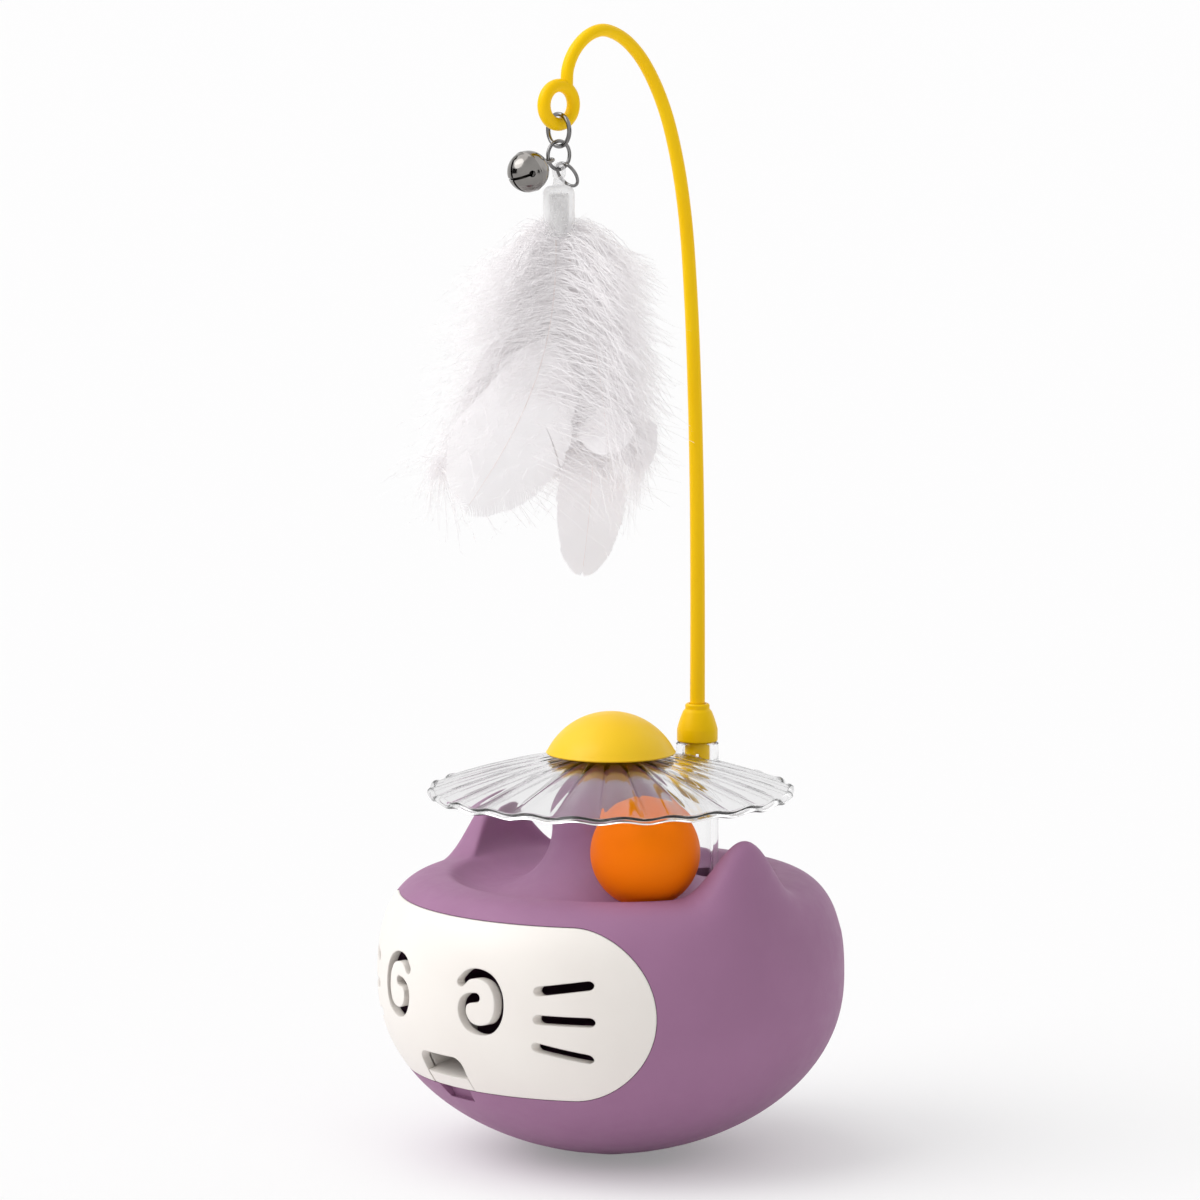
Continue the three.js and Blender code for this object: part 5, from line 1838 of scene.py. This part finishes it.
@dataclass(frozen=True)
class Flag:
    """A dark upright panel that only shows as a reflection: its middle, width and height in metres."""

    name: str
    place: tuple[float, float, float]
    width: float
    height: float


@dataclass
class Studio:
    """Pale floor with a painted shadow near the toy, soft lamps, dark flags and the camera."""

    camera_place: tuple[float, float, float] = (1.1696, -1.0278, 0.355)
    aim: tuple[float, float, float] = (-0.0019, -0.0022, 0.14835)
    lens: float = 177.66
    sensor: float = 36
    floor_radius: float = 40.0
    floor_glow: float = 0.5
    # Painted shadow: nearer the toy than these distances, the floor's glow falls to the weaker strength given
    # next.
    painted_shadow_reach: tuple[float, float] = (0.02, 0.085)
    painted_shadow_glow: float = 0.25
    sky_light: float = 0.5
    lamps: tuple[Lamp, ...] = (
        Lamp("key_lamp", toward=(-0.395, -0.983, 0.95), softness=50, power=1.27),
        Lamp("top_lamp", toward=(-0.45, -0.4, 1.0), softness=60, power=0.85),
        Lamp("back_lamp", toward=(0.2, 1.0, 0.6), softness=60, power=0.25))
    flags: tuple[Flag, ...] = (
        Flag("left_flag", place=(-1.2, -2.1, 0.45), width=1.5, height=0.9),
        Flag("right_flag", place=(2.1, 1.3, 0.35), width=1.6, height=0.7))

    def build(self) -> None:
        """Builds the studio."""
        bpy.context.scene.view_settings.view_transform = "Standard"
        self.add_camera()
        self.add_floor()
        self.add_sky()
        for lamp in self.lamps:
            self.add_lamp(lamp)
        for flag in self.flags:
            self.add_flag(flag)

    def add_flag(self, flag: Flag) -> None:
        """Stands up a dark panel that only shows as a reflection in polished pieces.

        Args:
            flag: The panel.
        """
        nodes = Nodes(flag.name)
        nodes.shader.inputs["Base Color"].default_value = (0.02, 0.02, 0.02, 1)
        nodes.shader.inputs["Roughness"].default_value = 1.0
        across = Vector((-flag.place[1], flag.place[0], 0)).normalized() * (flag.width / 2)
        up = Vector((0, 0, flag.height / 2))
        middle = Vector(flag.place)
        mesh = bpy.data.meshes.new(flag.name)
        corners = [middle - across - up, middle + across - up, middle + across + up, middle - across + up]
        mesh.from_pydata(corners, [], [(0, 1, 2, 3)])
        mesh.materials.append(nodes.material)
        panel = bpy.data.objects.new(flag.name, mesh)
        panel.visible_camera = False
        panel.visible_diffuse = False
        panel.visible_shadow = False
        panel.visible_transmission = False
        bpy.context.scene.collection.objects.link(panel)

    def add_camera(self) -> None:
        """Puts the camera at the photograph's angle."""
        lens = bpy.data.cameras.new("camera")
        lens.lens = self.lens
        lens.sensor_width = self.sensor
        camera = bpy.data.objects.new("camera", lens)
        camera.location = self.camera_place
        look = Vector(self.aim) - Vector(self.camera_place)
        camera.rotation_euler = look.to_track_quat("-Z", "Y").to_euler()
        bpy.context.scene.collection.objects.link(camera)
        bpy.context.scene.camera = camera

    def add_floor(self) -> None:
        """Lays a wide pale floor that keeps the toy's shadow, with a painted shadow: its glow is weaker near
        the toy.
        """
        nodes = Nodes("studio_floor")
        nodes.shader.inputs["Base Color"].default_value = (0.93, 0.925, 0.93, 1)
        nodes.shader.inputs["Roughness"].default_value = 0.9
        nodes.shader.inputs["Specular IOR Level"].default_value = 0.1
        glow = nodes.add("ShaderNodeEmission", Strength=1.0)
        glow.inputs["Color"].default_value = (1, 1, 1, 1)
        away = nodes.tree.nodes.new("ShaderNodeVectorMath")
        away.operation = "LENGTH"
        nodes.link(nodes.place, away.inputs[0])
        # Painted shadow: the floor's glow is weaker close to the toy, darkening the floor round its foot.
        near = nodes.add("ShaderNodeMapRange", From_Min=self.painted_shadow_reach[0], From_Max=self.painted_shadow_reach[1],
                         To_Min=self.painted_shadow_glow, To_Max=self.floor_glow)
        nodes.link(away.outputs["Value"], near.inputs["Value"])
        mix = nodes.tree.nodes.new("ShaderNodeMixShader")
        nodes.link(nodes.times(self.seen_directly(nodes.tree), near.outputs["Result"]), mix.inputs[0])
        nodes.link(nodes.shader.outputs[0], mix.inputs[1])
        nodes.link(glow.outputs[0], mix.inputs[2])
        nodes.link(mix.outputs[0], nodes.tree.nodes["Material Output"].inputs["Surface"])
        mesh = bpy.data.meshes.new("studio_floor")
        work = bmesh.new()
        bmesh.ops.create_circle(work, cap_ends=True, radius=self.floor_radius, segments=64)
        work.to_mesh(mesh)
        work.free()
        mesh.materials.append(nodes.material)
        floor = bpy.data.objects.new("studio_floor", mesh)
        floor.location.z = -0.0002
        bpy.context.scene.collection.objects.link(floor)

    def seen_directly(self, tree: bpy.types.NodeTree) -> bpy.types.NodeSocket:
        """A value of 1 for what the camera sees, straight, mirrored or through clear pieces.

        Args:
            tree: The node tree that it is used in.

        Returns:
            The value.
        """
        path = tree.nodes.new("ShaderNodeLightPath")
        value = path.outputs["Is Camera Ray"]
        for name in ("Is Glossy Ray", "Is Transmission Ray"):
            most = tree.nodes.new("ShaderNodeMath")
            most.operation = "MAXIMUM"
            tree.links.new(value, most.inputs[0])
            tree.links.new(path.outputs[name], most.inputs[1])
            value = most.outputs[0]
        return value

    def add_sky(self) -> None:
        """Lights the toy softly from all round and shows white behind it."""
        world = bpy.data.worlds.new("studio_sky")
        bpy.context.scene.world = world
        world.use_nodes = True
        tree = world.node_tree
        soft = tree.nodes["Background"]
        soft.inputs["Color"].default_value = (1, 1, 1, 1)
        soft.inputs["Strength"].default_value = self.sky_light
        white = tree.nodes.new("ShaderNodeBackground")
        white.inputs["Color"].default_value = (1, 1, 1, 1)
        white.inputs["Strength"].default_value = 1.0
        mix = tree.nodes.new("ShaderNodeMixShader")
        tree.links.new(self.seen_directly(tree), mix.inputs[0])
        tree.links.new(soft.outputs[0], mix.inputs[1])
        tree.links.new(white.outputs[0], mix.inputs[2])
        tree.links.new(mix.outputs[0], tree.nodes["World Output"].inputs["Surface"])

    def add_lamp(self, lamp: Lamp) -> None:
        """Adds a soft far lamp.

        Args:
            lamp: The lamp.
        """
        light = bpy.data.lights.new(lamp.name, "SUN")
        light.angle = math.radians(lamp.softness)
        light.energy = lamp.power
        stand = bpy.data.objects.new(lamp.name, light)
        stand.location = lamp.toward
        stand.rotation_euler = (-Vector(lamp.toward)).to_track_quat("-Z", "Y").to_euler()
        bpy.context.scene.collection.objects.link(stand)


def main() -> None:
    """Builds the studio and dresses the toy, sub-assembly by sub-assembly."""
    logging.basicConfig(level=logging.INFO, format="%(name)s: %(message)s")
    Studio().build()
    body = BodyOutline()
    mask = FaceMask(body)
    wand = Wand()
    links = Links(wand)
    for part in (BodyShell(body, mask), mask, TrackBall(), Canopy(), DomeCap(), wand, links,
                 FeatherBunch(links), InnerPieces()):
        part.build()


if __name__ == "__main__":
    main()
